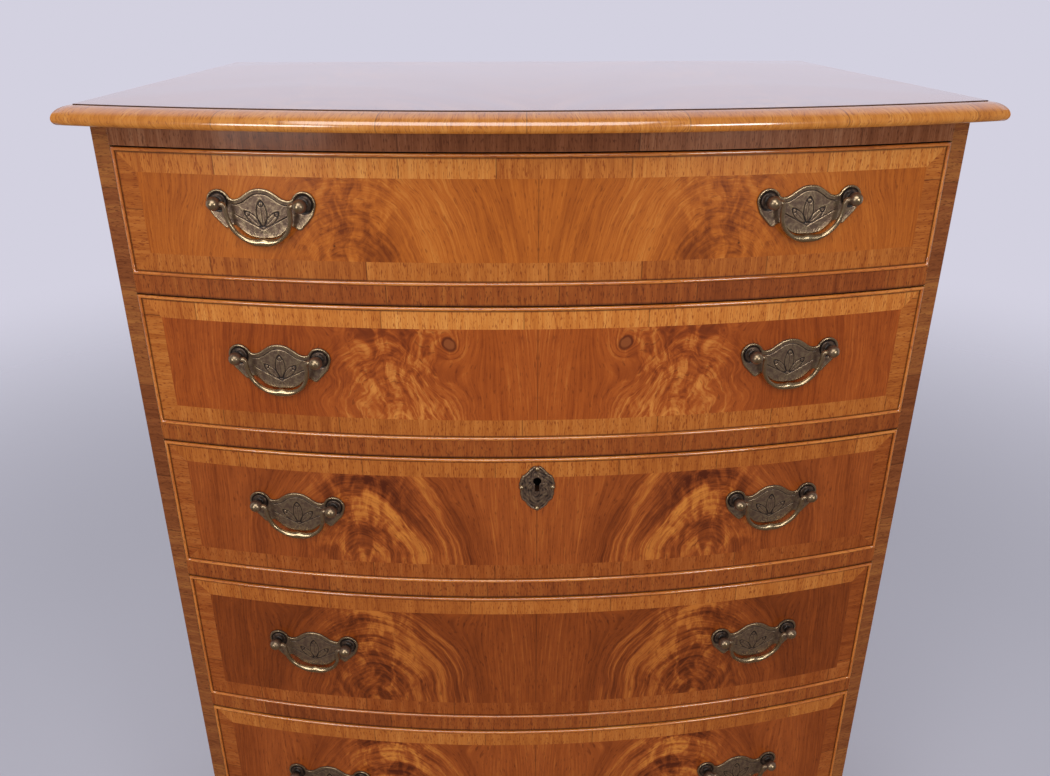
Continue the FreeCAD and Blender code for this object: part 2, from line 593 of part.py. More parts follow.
# ---------------------------------------------------------------- lock of the third drawer
LOCKED_TOP = f"({drawer_z(LOCKED_DRAWER)} + dims.drawer_{LOCKED_DRAWER}_height)"
KEYHOLE_Z = f"({LOCKED_TOP} - dims.keyhole_drop)"
LOCK_Y = f"({BOW_Y} - {FRONT_INNER} - dims.lock_depth)"
SURFACE_Y = f"({BOW_Y} - {BOW_RADIUS})"
lock_block = box("lock_block", size("lock_width"), size("lock_depth"), size("lock_height"),
                 "-dims.lock_width / 2", LOCK_Y, f"{LOCKED_TOP} - dims.lock_height")
lock_recess = box("lock_recess", size("lock_width"), size("front_thickness"), size("lock_height"),
                  "-dims.lock_width / 2", LOCK_Y, f"{LOCKED_TOP} - dims.lock_height")
key_round = put(aim(prism("key_round", size("keyhole_radius"), "dims.front_thickness"), (0, -1, 0)),
                y=f"{LOCK_Y} + dims.lock_wall", z=KEYHOLE_Z)
key_slot = box("key_slot", size("keyhole_slot_width"), "dims.front_thickness", size("keyhole_slot_drop"),
               "-dims.keyhole_slot_width / 2", f"{LOCK_Y} + dims.lock_wall - dims.front_thickness",
               f"{KEYHOLE_Z} - dims.keyhole_slot_drop")
keyhole = fuse("keyhole", key_round, key_slot)
bolt = box("bolt", size("bolt_width"), size("bolt_thickness"), size("bolt_height"),
           "-dims.bolt_width / 2", f"{BOLT_Y} - dims.bolt_thickness / 2", f"{LOCKED_TOP} - dims.bolt_height")
bolt_way = box("bolt_way", f"2 * {MORTISE_HALF}", MORTISE_WIDTH, "dims.bolt_height + dims.bolt_clearance",
               f"-{MORTISE_HALF}", f"{BOLT_Y} - {MORTISE_WIDTH} / 2",
               f"{LOCKED_TOP} - dims.bolt_height - dims.bolt_clearance")
keep("lock_case", cut("lock_body", lock_block, group("lock_cuts", keyhole, bolt_way)))
keep("lock_bolt", bolt)

# The escutcheon is a scalloped shield held by four domed pins.
SHIELD = size("shield_half_width")
ABOVE = size("shield_above")
BELOW = size("shield_below")
shield_half = [
    ("0", ABOVE, size("shield_top_radius"), "right"),
    (size("shield_shoulder"), size("shield_shoulder_rise")),
    (size("shield_notch"), size("shield_notch_rise"), size("shield_side_radius"), "right"),
    (SHIELD, "-dims.shield_widest_drop"),
    (size("shield_waist"), "-dims.shield_waist_drop", size("shield_hip_radius"), "right"),
    (size("shield_hip"), "-dims.shield_hip_drop", size("shield_hip_radius"), "right"),
    ("0", f"-{BELOW}"),
]
shield_outline = both_halves(shield_half)
shield = put(pad("shield", "XZ_Plane", shield_outline, size("shield_thickness")), y=SURFACE_Y, z=KEYHOLE_Z)
studs = []
stud_places = [("0", f"{ABOVE} - dims.stud_inset"), ("0", f"dims.stud_inset - {BELOW}"),
               (f"{SHIELD} - dims.stud_inset", "-dims.shield_widest_drop"),
               (f"dims.stud_inset - {SHIELD}", "-dims.shield_widest_drop")]
dome = [(f"dims.stud_radius * cos({angle})", f"dims.stud_height * sin({angle})") for angle in (0, 35, 70)]
for index, (x, z) in enumerate(stud_places, start=1):
    stud = aim(turned(f"stud_{index}", dome), (0, -1, 0))
    studs.append(put(stud, x, f"{SURFACE_Y} - dims.shield_thickness", f"{KEYHOLE_Z} + {z}"))
keep("escutcheon", group("escutcheon_set", cut("pierced_shield", shield, keyhole), *studs))


# ---------------------------------------------------------------- drawers
# Lap dovetails hold each front to its sides: the side's tails sit in sockets that stop short of the beads.
TAIL_ROOT = arc_y(FRONT_INNER, DRAWER_HALF)
TAIL_TIP = f"({TAIL_ROOT} - dims.tail_length)"


def tails(side_height):
    """Outline of one side's tails, as many as the height has room for, on a strip that lies inside the side."""
    room = f"({side_height} - 2 * dims.tail_end + dims.tail_pin)"
    count = int(value(room) // value(size("tail_pitch")))
    strip = f"({TAIL_ROOT} + dims.tail_heel)"
    heel = f"({TAIL_ROOT} + 2 * dims.tail_heel)"
    flanks = []
    for index in range(count):
        low = f"(dims.tail_end + {index} * {room} / {count})"
        high = f"(dims.tail_end + {index + 1} * {room} / {count} - dims.tail_pin)"
        flanks += [(strip, f"{low} + dims.tail_flare"), (TAIL_TIP, low),
                   (TAIL_TIP, high), (strip, f"{high} - dims.tail_flare")]
    return [(heel, flanks[0][1])] + flanks + [(heel, flanks[-1][1])]


MITRE_DEPTH = f"({BEAD_OUTER} + dims.bead_depth)"


def cock_beads(name, height):
    """Four thin strips in the rebate round a drawer front, mitred at its corners."""
    bead = size("bead_thickness")
    inner_half = f"({DRAWER_HALF} - {bead})"
    upright = [(inner_half, arc_y(BEAD_INNER, inner_half)), (inner_half, arc_y(BEAD_OUTER, inner_half)),
               (DRAWER_HALF, arc_y(BEAD_OUTER, DRAWER_HALF)), (DRAWER_HALF, arc_y(BEAD_INNER, DRAWER_HALF))]
    made = []
    for place, outer_z, inner_z, low in (("upper", height, f"{height} - {bead}", f"{height} - {bead}"),
                                         ("lower", "0", bead, "0")):
        mitre = [(f"-{DRAWER_HALF}", outer_z), (DRAWER_HALF, outer_z),
                 (inner_half, inner_z), (f"-{inner_half}", inner_z)]
        wedge = pad(f"{name}_{place}_mitre", "XZ_Plane", mitre, MITRE_DEPTH)
        bar = pad(f"{name}_{place}_bar", "XY_Plane", bowed(DRAWER_HALF, BEAD_OUTER, BEAD_INNER), bead)
        made.append(common(f"{name}_{place}", put(bar, z=low), wedge))
    mitre = [(DRAWER_HALF, "0"), (DRAWER_HALF, height),
             (inner_half, f"{height} - {bead}"), (inner_half, bead)]
    wedge = pad(f"{name}_side_mitre", "XZ_Plane", mitre, MITRE_DEPTH)
    right = common(f"{name}_right", pad(f"{name}_side_bar", "XY_Plane", upright, height), wedge)
    return made + [right, mirror(f"{name}_left", right)]


for number in DRAWERS:
    label = f"drawer_{number}"
    height = size(f"{label}_height")
    base_z = drawer_z(number)
    handle_z = f"{base_z} + {height} / 2 + dims.handle_rise"

    # bottom board, in grooves of the front and sides
    bottom_half = f"({LINING_HALF} + dims.groove_depth)"
    base = pad(f"{label}_base", "XY_Plane",
               bow_fronted(bottom_half, f"({FRONT_INNER} + dims.groove_depth)", DRAWER_BACK),
               size("drawer_bottom_thickness"))
    put(base, y=BOW_Y, z=f"{base_z} + dims.drawer_bottom_lift")
    keep(f"{label}_bottom", base)

    # front: the full board, with a shallower layer that leaves the rebate for the beads
    board = pad(f"{label}_board", "XY_Plane", bowed(DRAWER_HALF, BEAD_INNER, FRONT_INNER), height)
    pad(f"{label}_face", "XY_Plane", bowed(f"({DRAWER_HALF} - dims.bead_thickness)", BOW_RADIUS, BEAD_INNER),
        f"{height} - 2 * dims.bead_thickness", size("bead_thickness"), board)
    put(board, y=BOW_Y, z=base_z)
    holes = group(f"{label}_holes", handle_sets["holes", "left"], handle_sets["holes", "right"])
    side_height = f"({height} - dims.lining_drop)"
    sockets = pad(f"{label}_sockets", "YZ_Plane", tails(side_height), "dims.lining_thickness + dims.socket_run_out")
    put(sockets, LINING_HALF, BOW_Y, base_z)
    tools = [base, put(holes, z=handle_z), sockets, mirror(f"{label}_sockets_left", sockets)]
    if number == LOCKED_DRAWER:
        tools += [keyhole, lock_recess]
    keep(f"{label}_front", cut(f"{label}_cut_front", board, group(f"{label}_front_cuts", *tools)))

    # linings: the two sides and the back
    lining = [(LINING_HALF, arc_y(FRONT_INNER, LINING_HALF)), (DRAWER_HALF, arc_y(FRONT_INNER, DRAWER_HALF)),
              (DRAWER_HALF, DRAWER_BACK), (LINING_HALF, DRAWER_BACK)]
    plank = put(pad(f"{label}_lining", "XY_Plane", lining, side_height), y=BOW_Y, z=base_z)
    comb = pad(f"{label}_tails", "YZ_Plane", tails(side_height), size("lining_thickness"))
    put(comb, LINING_HALF, BOW_Y, base_z)
    right = cut(f"{label}_right", fuse(f"{label}_dovetailed", plank, comb), base)
    keep(f"{label}_sides", group(f"{label}_side_pair", right, mirror(f"{label}_left", right)))
    back_low = "(dims.drawer_bottom_lift + dims.drawer_bottom_thickness)"
    keep(f"{label}_back", box(f"{label}_rear", f"2 * {LINING_HALF}", size("drawer_back_thickness"),
                              f"{height} - dims.drawer_back_drop - {back_low}",
                              f"-{LINING_HALF}", f"{BOW_Y} + {DRAWER_BACK} - dims.drawer_back_thickness",
                              f"{base_z} + {back_low}"))

    beads = group(f"{label}_bead_set", *cock_beads(f"{label}_bead", height))
    keep(f"{label}_cock_beads", put(beads, y=BOW_Y, z=base_z))

    fitted = group(f"{label}_fitted", handle_sets["fittings", "left"], handle_sets["fittings", "right"])
    keep(f"{label}_handle_plates", put(fitted, z=handle_z))
    for side in SIDES:
        hung = group(f"{label}_hung_{side}", handle_sets["bail", side])
        keep(f"{label}_bail_{side}", put(hung, z=handle_z))

# ---------------------------------------------------------------- check and write
doc.recompute()
faults = [thing.Name for thing in doc.Objects if {"Invalid", "Error"} & set(thing.State)]
for node, thing in nodes.items():
    if thing.Shape.isNull() or not thing.Shape.isValid() or not thing.Shape.Solids:
        faults.append(node)
if faults:
    raise RuntimeError("not built: " + ", ".join(faults))
os.makedirs("parts", exist_ok=True)
for node, thing in nodes.items():
    thing.Shape.exportStep(f"parts/{node}.step")
print(len(nodes), "nodes,", sum(len(thing.Shape.Solids) for thing in nodes.values()), "solids")
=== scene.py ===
import math
import bmesh
import bpy
import numpy as np
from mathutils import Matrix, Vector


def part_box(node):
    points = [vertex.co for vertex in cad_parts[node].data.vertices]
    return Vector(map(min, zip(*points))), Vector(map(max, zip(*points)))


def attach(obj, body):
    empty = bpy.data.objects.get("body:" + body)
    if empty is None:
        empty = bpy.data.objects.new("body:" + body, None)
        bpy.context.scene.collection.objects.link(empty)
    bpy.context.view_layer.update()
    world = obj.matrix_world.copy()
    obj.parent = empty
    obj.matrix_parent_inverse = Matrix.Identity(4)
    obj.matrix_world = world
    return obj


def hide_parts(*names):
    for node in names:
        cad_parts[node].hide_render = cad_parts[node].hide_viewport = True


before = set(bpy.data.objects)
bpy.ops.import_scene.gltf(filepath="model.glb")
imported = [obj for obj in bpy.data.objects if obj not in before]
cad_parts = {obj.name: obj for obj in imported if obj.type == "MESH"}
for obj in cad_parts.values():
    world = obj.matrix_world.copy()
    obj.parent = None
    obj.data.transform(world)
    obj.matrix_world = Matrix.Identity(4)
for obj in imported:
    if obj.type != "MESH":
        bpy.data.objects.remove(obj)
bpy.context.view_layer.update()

# ======== case sides and stiles
# Each side is one board of softwood faced with walnut veneer, its grain upright.
# Its front edge is the stile: it follows the bow, and is faced with short pieces of cross-grained walnut.
# The sides stand on the base moulding and take the back panel in a rebate.
BOW_Y, BOW_RADIUS = 1.113824, 1.366224
CASE_HALF, OPENING_HALF, REBATE_HALF = 0.381, 0.3655, 0.3735
PANEL_Y, BACK_Y = 0.2758, 0.2838
WAX = {"Coat_Weight": 0.3, "Coat_Roughness": 0.12, "Specular_IOR_Level": 0.15}


def linear(colour):
    """An sRGB hex colour as linear red, green, blue and 1."""
    parts = np.array([int(colour[i:i + 2], 16) for i in (1, 3, 5)]) / 255
    parts = np.where(parts <= 0.04045, parts / 12.92, ((parts + 0.055) / 1.055) ** 2.4)
    return (*parts.tolist(), 1.0)


def add(tree, kind, inputs=None, out=0, stops=(), **settings):
    """Adds a shader node with its settings, and gives one of its outputs.
    Inputs are numbers, colours, or sockets to link. Stops are a ramp's places and colours."""
    made = tree.nodes.new("ShaderNode" + kind)
    for name, setting in settings.items():
        setattr(made, name, setting)
    for name, given in (inputs or {}).items():
        socket = made.inputs[name]
        if isinstance(given, bpy.types.NodeSocket):
            tree.links.new(given, socket)
        else:
            socket.default_value = given
    for index, (place, colour) in enumerate(stops):
        ramp = made.color_ramp.elements
        stop = ramp[index] if index < len(ramp) else ramp.new(place)
        stop.position, stop.color = place, linear(colour)
    return made.outputs[out]


def reckon(operation, *given, kind="Math", out=0):
    """One step of arithmetic on numbers, by the node's own word for it. It goes into the tree of the sockets given."""
    tree = next(one.id_data for one in given if isinstance(one, bpy.types.NodeSocket))
    return add(tree, kind, dict(enumerate(given)), out, operation=operation)


def vector(*given, out=0):
    """One step of arithmetic on vectors."""
    return reckon(*given, kind="VectorMath", out=out)


def part(place, axis="X"):
    """One coordinate of a vector."""
    return add(place.id_data, "SeparateXYZ", {0: place}, axis)


def slope(value, start, end, low=0.0, high=1.0, shape="LINEAR"):
    """Low where the value is at start, high where it is at end, and held beyond them."""
    limits = {"From Min": start, "From Max": end, "To Min": low, "To Max": high}
    return add(value.id_data, "MapRange", {"Value": value, **limits}, interpolation_type=shape)


def fade(*given):
    """A slope that eases in and out."""
    return slope(*given, shape="SMOOTHSTEP")


def blend(share, *colours):
    """The first colour, with a share of the second over it. A colour is a socket or sRGB hex."""
    under, over = (linear(colour) if isinstance(colour, str) else colour for colour in colours)
    return add(share.id_data, "Mix", {0: share, 6: under, 7: over}, 2, data_type="RGBA")


def noise(place, scale, detail, seed=None, out=0, **more):
    """Cloudy noise at a place. With a seed it differs from leaf to leaf."""
    inputs, settings = {"Vector": place, "Scale": scale, "Detail": detail, **more}, {}
    if seed is not None:
        inputs["W"], settings["noise_dimensions"] = seed, "4D"
    return add(place.id_data, "TexNoise", inputs, out, **settings)


def finish(name, **shader):
    """An empty material: its node tree and its surface shader, with values set on the shader's own sockets."""
    made = bpy.data.materials.new(name)
    made.use_nodes = True
    surface = made.node_tree.nodes["Principled BSDF"]
    for socket, number in shader.items():
        surface.inputs[socket.replace("_", " ")].default_value = number
    return made, made.node_tree, surface.inputs


def dress(tree, surface, colour, height, depth, **more):
    """Links a colour and other patterns to the surface, and lets a height from 0 to 1 stand depth metres proud."""
    bump = add(tree, "Bump", {"Strength": 1.0, "Distance": depth, "Height": height})
    for socket, given in {"Base Color": colour, "Normal": bump, **more}.items():
        tree.links.new(given, surface[socket])


def figured_walnut(name, spine, foot, squeeze, tones, flame=1.0, curl=1.0, edge=0.112, wild=1.0, knot=None, **polish):
    """Crotch veneer in two mirrored leaves. A growth line is an ellipse round a point at (spine, foot) on the leaf,
    so it leaves the foot upright, arches over and comes down again, and near the foot it opens into a broad patch.
    Squeeze is the ellipse's width over its height. Towards the middle joint the grain straightens.
    Inside the ellipse that reaches edge metres out lie crisp arcs 2 to 8 mm wide, with a curled mottle over the spine;
    outside it the grain is plain, with fibres drawn 1 mm wide, coarser than the real ones, so that they show.
    Flame and curl are the strengths of the arcs and the mottle, and wild how far the lines wander. Tones are four
    colours from dark to light. A knot is a place on the leaf that the lines part round. A thin coat over a duller
    ground gives the deep, soft shine of wax."""
    made, tree, surface = finish(name, **{**WAX, **polish})
    chart = add(tree, "UVMap", uv_map="grain")
    leaf = add(tree, "Attribute", out="Fac", attribute_name="leaf")
    along = part(chart, "Y")
    half = reckon("ABSOLUTE", part(chart))
    bent = folded = add(tree, "CombineXYZ", {0: half, 1: along})
    sway, wave = (noise(folded, scale, detail, leaf, "Color") for scale, detail in ((9.0, 2.0), (42.0, 3.0)))
    loose = fade(half, 0.01, 0.10, 0.15)
    for drift, reach in ((sway, 0.036 * wild), (wave, 0.006 * wild)):
        drift = vector("SUBTRACT", drift, (0.5, 0.5, 0.5))
        drift = add(tree, "VectorMath", {0: drift, "Scale": loose}, operation="SCALE")
        bent = vector("MULTIPLY_ADD", drift, (reach, reach, 0), bent)
    out_from = vector("SUBTRACT", bent, (spine, foot, 0))
    flat = vector("MULTIPLY_ADD", out_from, (1, squeeze, 0), (0, 0, 0.038))
    growth = vector("LENGTH", flat, out="Value")
    if knot:
        crooked = vector("MULTIPLY_ADD", wave, (0.010, 0.007, 0), folded)
        from_knot = vector("DISTANCE", crooked, (knot[0] + 0.005, knot[1] + 0.0035, 0), out="Value")
        growth = reckon("ADD", growth, fade(from_knot, 0, 0.019, 0.012, 0))
    straight = reckon("ABSOLUTE", reckon("SUBTRACT", spine, half))
    grain = add(tree, "Mix", {0: fade(growth, edge, edge + 0.05, 0, 0.75), 2: growth, 3: straight})
    arcs, lines = (add(tree, "CombineXYZ", {0: far, 1: half, 2: along}) for far in (growth, grain))
    fibre, arc, wide, pore = (
        noise(vector("MULTIPLY", place, stretch), 1.0, detail, leaf, Roughness=0.66)
        for place, stretch, detail in ((lines, (700, 18, 18), 2.0), (arcs, (105, 6, 6), 5.0), (lines, (24, 3, 3), 1.0),
        (lines, (950, 120, 120), 1.0)))
    curled = vector("MULTIPLY", bent, (1, 0.55, 1))
    mottle = noise(curled, 75.0, 4.0, leaf, Roughness=0.6, Distortion=1.1)
    aside = reckon("SUBTRACT", half, spine)
    at_spine = fade(reckon("ABSOLUTE", aside), 0.075, 0.012)
    beyond = fade(aside, -0.015, 0.055)
    shadow = reckon("ABSOLUTE", reckon("SUBTRACT", growth, edge + 0.010))
    crisp, ripple = fade(arc, 0.37, 0.63, -0.5, 0.5), fade(mottle, 0.36, 0.66, -0.5, 0.5)
    arching = reckon("MULTIPLY_ADD", beyond, -0.34 * flame, 0.46 * flame)
    for limit in (fade(growth, edge + 0.006, edge - 0.006), fade(growth, 0.04, 0.07, 0.25)):
        arching = reckon("MULTIPLY", arching, limit)
    curling = reckon("MULTIPLY_ADD", at_spine, 0.38 * curl, 0.04 * curl)
    tone = fade(shadow, 0.013, 0.002, 0, -0.075 * flame)
    for pattern, strength in (
            (crisp, arching), (ripple, curling), (fibre, 0.62), (wide, 0.42), (beyond, -0.07 * flame)):
        tone = reckon("MULTIPLY_ADD", pattern, strength, tone)
    colour = add(tree, "ValToRGB", {0: tone}, stops=tuple(zip((0.12, 0.38, 0.56, 0.88), tones)))
    colour = blend(slope(pore, 0.6, 0.7, 0, 0.5), colour, tones[0])
    if knot:
        for begin, end, strength, hue in ((0.0080, 0.0055, 0.8, "#4a1a08"), (0.0053, 0.0035, 0.75, "#8b4a22")):
            colour = blend(fade(from_knot, begin, end, 0, strength), colour, hue)
    fleck, near = (
        add(tree, "TexVoronoi", {"Vector": folded, "W": leaf, "Scale": 42.0}, out, voronoi_dimensions="4D")
        for out in ("Color", "Distance"))
    dent = reckon("MULTIPLY", slope(near, 0.055, 0.025, 0, 0.7), reckon("GREATER_THAN", fleck, 0.62))
    marks = reckon("MAXIMUM", dent, slope(half, 0.0003, 0.0007, 0.4, 0))
    colour = blend(marks, colour, "#2c1408")
    dress(tree, surface, colour, reckon("ADD", fibre, wave), 0.00006, Roughness=slope(wide, 0, 1, 0.26, 0.5))
    return made


def cross_grained_walnut(name, length, dark, middle, light, patch=0.2, sway=0.0, crack=0.5, corner_shade=0.0, **polish):
    """Short lengths of straight-grained walnut laid side by side, their grain across the run of the band.
    The map's first number runs along the band and its second along the grain. Length is one piece's mean length in
    metres, patch how much pieces differ, sway how far the grain wanders, and crack how dark the joints are.
    The corner shade is how dark a strip about 2 mm wide along the band's outer edge is painted, where the map's
    second number is 0: painted shade, where the band meets a gap on the rails and a proud bead on the drawers."""
    made, tree, surface = finish(name, **{**WAX, **polish})
    chart = add(tree, "UVMap", uv_map="grain")
    leaf = add(tree, "Attribute", out="Fac", attribute_name="leaf")
    cut = {"W": reckon("MULTIPLY_ADD", part(chart), 1 / length, leaf), "Scale": 1.0, "Randomness": 0.8}
    piece = add(tree, "TexVoronoi", cut, "Color", voronoi_dimensions="1D")
    shade, shift = (add(tree, "SeparateColor", {0: piece}, out=channel) for channel in ("Red", "Blue"))
    edge = add(tree, "TexVoronoi", cut, voronoi_dimensions="1D", feature="DISTANCE_TO_EDGE")
    bent = vector("MULTIPLY_ADD", noise(chart, 55.0, 2.0, leaf, "Color"), (sway, sway, 0), chart)
    bent = vector("ADD", bent, add(tree, "CombineXYZ", {2: shift}))
    fibre, band, pore = (
        noise(vector("MULTIPLY", bent, stretch), 1.0, detail, Roughness=0.6)
        for stretch, detail in (((950, 30, 40), 3.0), ((140, 12, 40), 2.0), ((1000, 170, 90), 1.0)))
    tone = reckon("MULTIPLY_ADD", shade, patch, 0.02 - patch / 2)
    for pattern in (fibre, band):
        tone = reckon("MULTIPLY_ADD", pattern, 0.5, tone)
    colour = add(tree, "ValToRGB", {0: tone}, stops=((0.2, dark), (0.52, middle), (0.85, light)))
    colour = blend(slope(pore, 0.58, 0.67, 0, 0.75), colour, dark)
    joint = slope(edge, 0.0002 / length, 0.0007 / length, crack, 0)
    # Painted shade: a strip about 2 mm wide along the band's outer edge is darkened.
    corner = fade(part(chart, "Y"), 0.0022, 0.0004, 0, corner_shade)
    colour = blend(reckon("MAXIMUM", joint, corner), colour, "#2a1408")
    dress(tree, surface, colour, fibre, 0.00005, Roughness=slope(band, 0, 1, 0.28, 0.48))
    return made


def plain_timber(name, run, ring, dark, light, roughness=0.55):
    """Planed softwood or oak with straight grain: noise stretched along one axis of the room, 0, 1 or 2.
    Ring is the spacing of its growth rings in metres."""
    made, tree, surface = finish(name, Roughness=roughness)
    stretch, fine = [1 / ring] * 3, [900.0] * 3
    stretch[run], fine[run] = 2.2, 26.0
    place = add(tree, "TexCoord", out="Object")
    rings = noise(vector("MULTIPLY", place, stretch), 1.0, 3.0, Distortion=0.6)
    fibre = noise(vector("MULTIPLY", place, fine), 1.0, 2.0)
    tone = slope(reckon("MULTIPLY_ADD", fibre, 0.35, rings), 0.4, 0.95)
    dress(tree, surface, blend(tone, dark, light), fibre, 0.0001)
    return made


def show(name, data):
    """A new object in the scene that holds a mesh, a lamp or a camera."""
    held = bpy.data.objects.new(name, data)
    bpy.context.scene.collection.objects.link(held)
    return held


def make_piece(name, patches, finishes, replaces, body="root", crease=38, soften=0.0):
    """Welds patches into one mesh. A patch is a grid of points and its map, in metres, the number of its finish, and
    if need be a leaf number for each point and the quads to leave out. Points nearer than 0.01 mm become one, and a
    quad with two equal corners becomes a triangle. Edges sharper than crease degrees stay sharp."""
    points, charts, quads, which, leaves, start = [], [], [], [], [], 0
    for grid, chart, number, *more in patches:
        leaf = more[0] if more else 0.0
        rows, columns = grid.shape[:2]
        index = np.arange(rows * columns).reshape(rows, columns) + start
        cells = np.stack([index[:-1, :-1], index[:-1, 1:], index[1:, 1:], index[1:, :-1]], -1)
        cells = cells[~more[1]] if len(more) > 1 else cells.reshape(-1, 4)
        quads.append(cells)
        which.append(np.full(len(cells), number))
        points.append(grid.reshape(-1, 3))
        charts.append(chart.reshape(-1, 2))
        leaves.append(np.broadcast_to(leaf, grid.shape[:2]).ravel())
        start += rows * columns
    points, charts, quads, which, leaves = map(np.concatenate, (points, charts, quads, which, leaves))
    keys = np.round(points * 1e5).astype(np.int64)
    first, weld = np.unique(keys, axis=0, return_index=True, return_inverse=True)[1:]
    corners, maps = weld.ravel()[quads], charts[quads]
    apart = corners != np.roll(corners, -1, axis=1)
    whole, three = apart.all(1), apart.sum(1) == 3
    faces = corners[whole].tolist() + corners[three][apart[three]].reshape(-1, 3).tolist()
    spread = np.concatenate([maps[whole].reshape(-1, 2), maps[three][apart[three]]])
    mesh = bpy.data.meshes.new(name)
    mesh.from_pydata(points[first], [], faces)
    mesh.uv_layers.new(name="grain").data.foreach_set("uv", spread.astype(np.float32).ravel())
    mesh.polygons.foreach_set("material_index", np.concatenate([which[whole], which[three]]).astype(np.int32))
    seeds = leaves[quads]
    seeds = np.concatenate([seeds[whole].ravel(), seeds[three][apart[three]]]).astype(np.float32)
    mesh.attributes.new("leaf", "FLOAT", "CORNER").data.foreach_set("value", seeds)
    work = bmesh.new()
    work.from_mesh(mesh)
    bmesh.ops.recalc_face_normals(work, faces=work.faces)
    work.to_mesh(mesh)
    work.free()
    for made in finishes:
        mesh.materials.append(made)
    mesh.shade_smooth()
    mesh.set_sharp_from_angle(angle=math.radians(crease))
    piece = show(name, mesh)
    if soften:
        rounding = piece.modifiers.new("softened_edges", "BEVEL")
        rounding.width, rounding.segments = soften, 2
        rounding.limit_method, rounding.angle_limit = "ANGLE", math.radians(50)
        rounding.harden_normals = True
    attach(piece, body)
    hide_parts(*replaces)


def lengths(line):
    """How far along a line each of its points lies."""
    return np.append(0, np.cumsum(np.linalg.norm(np.diff(line, axis=0), axis=1)))


def joined(*parts):
    """Points from their coordinates, each a number or an array, spread over one another's rows and columns."""
    return np.stack(np.broadcast_arrays(*parts), -1)


def raised(plan, z):
    """A line in plan, set at a height."""
    return np.insert(np.asarray(plan, float), 2, z, axis=1)


def ruled(first, second, steps=1):
    """Straight lines between two curves of as many points. The map runs along the first curve and across."""
    first, second = np.asarray(first, float), np.asarray(second, float)
    share = np.linspace(0, 1, steps + 1)[:, None]
    grid = first * (1 - share[..., None]) + second * share[..., None]
    return grid, joined(lengths(first), share * np.linalg.norm(second - first, axis=1))


def wall(plan, low, high, steps=1):
    """An upright face over a line in plan."""
    return ruled(raised(plan, low), raised(plan, high), steps)


def bow(x, reach=0.0):
    """Depth of the drawers' bow at x: a circle, seen from its centre, with reach added to its radius."""
    return BOW_Y - np.sqrt((BOW_RADIUS + reach) ** 2 - np.square(x))


def other_side(patches):
    """The same patches, mirrored left to right."""
    return [(patch[0] * (-1, 1, 1), *patch[1:]) for patch in patches]


side_veneer = figured_walnut(
    "walnut_veneer_straight_grained_polished", -1.6, 0.0, 0.3, ("#54260d", "#76401c", "#8f5426", "#b17839"), flame=0.0,
    curl=0.3)
stile_banding = cross_grained_walnut(
    "walnut_crossbanding_stile", 0.085, "#54260d", "#7f4520", "#a5692f", patch=0.25, sway=0.006)
pine_upright = plain_timber("pine_planed_upright_grain", 2, 0.011, "#a97a45", "#d3ab74")
# A dark material for the edges that lie in the gaps round the drawers, the rails and the top: painted shade, which
# draws the dark lines at those gaps.
painted_gap_shade = plain_timber("walnut_edge_painted_gap_shade", 0, 0.012, "#2c170b", "#4d2c16", roughness=0.6)
bottom_z, top_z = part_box("case_sides")[0].z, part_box("case_sides")[1].z
front_out, front_in = (CASE_HALF, bow(CASE_HALF)), (OPENING_HALF, bow(OPENING_HALF))
outline = [
    front_in, front_out, (CASE_HALF, PANEL_Y), (CASE_HALF, BACK_Y), (REBATE_HALF, BACK_Y), (REBATE_HALF, PANEL_Y),
    (OPENING_HALF, PANEL_Y)]
side_patches = []
for plan, number in (
        (outline[:2], 1), (outline[1:4], 0), (outline[3:6], 2), (outline[5:], 2), ([outline[6], outline[0]], 2)):
    grid, chart = wall(plan, bottom_z, top_z, 40)
    if number == 1:
        chart = chart[..., ::-1]
    if number == 0:
        chart = grid[..., 1:] + (0.7, -0.6)
    side_patches.append((grid, chart, number, 3.0))
for z in (bottom_z, top_z):
    for near, far in ((outline[:2], [outline[6], outline[2]]), ([outline[5], outline[2]], outline[4:2:-1])):
        side_patches.append((*ruled(raised(near, z), raised(far, z)), 2))
make_piece(
    "case_sides_veneered", side_patches + other_side(side_patches), [side_veneer, stile_banding, pine_upright],
    replaces=["case_sides"], soften=0.0005)

# ======== bottom board, back and runners
# The bottom board, the drawer runners and the back are plain softwood, planed and left bare.
# They are glued and nailed inside the case, and have darkened to a honey brown with age.
pine_across = plain_timber("pine_planed_cross_case", 0, 0.012, "#a5763f", "#cfa66c")
pine_deep = plain_timber("pine_planed_front_to_back", 1, 0.011, "#a2733d", "#cda56d")
back_board = plain_timber("back_board_aged_softwood", 2, 0.016, "#7d552d", "#a98050", roughness=0.65)


def clad(node, made):
    """Gives a board that is used as it was modelled its material."""
    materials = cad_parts[node].data.materials
    materials.clear()
    materials.append(made)


clad("bottom_board", pine_across)
clad("drawer_runners", pine_deep)
clad("back_panel", back_board)

# ======== front rails
# Seven softwood rails cross the case, flush with the bow, and are faced with short upright-grained walnut.
# The top one is the frieze, duller and darker. The one over the third drawer has a mortise for the lock's bolt.
RAIL_LOWS, RAIL_HIGH, FRIEZE_HIGH = (0.144, 0.3666, 0.5702, 0.7488, 0.9093, 1.0591, 1.1911), 0.018, 0.0193
RAIL_BACK_Y, MORTISE_HALF, MORTISE_Y, MORTISE_HIGH, MORTISED = -0.1562, 0.0104, (-0.2390, -0.2328), 0.0068, 4
# The rail facing is darkened along its lower edge, over the gap above each drawer: painted shade.
rail_facing = cross_grained_walnut("walnut_facing_rail_polished", 0.16, "#55210a", "#8a4417", "#aa6426", corner_shade=0.6)
frieze_facing = cross_grained_walnut(
    "walnut_facing_frieze_dulled", 0.17, "#54280f", "#814a29", "#a87450", Coat_Weight=0.2)


def between(edges, limit):
    """Which gaps between neighbouring edges lie nearer the middle line than a limit."""
    return np.abs(edges[1:] + edges[:-1]) / 2 < limit


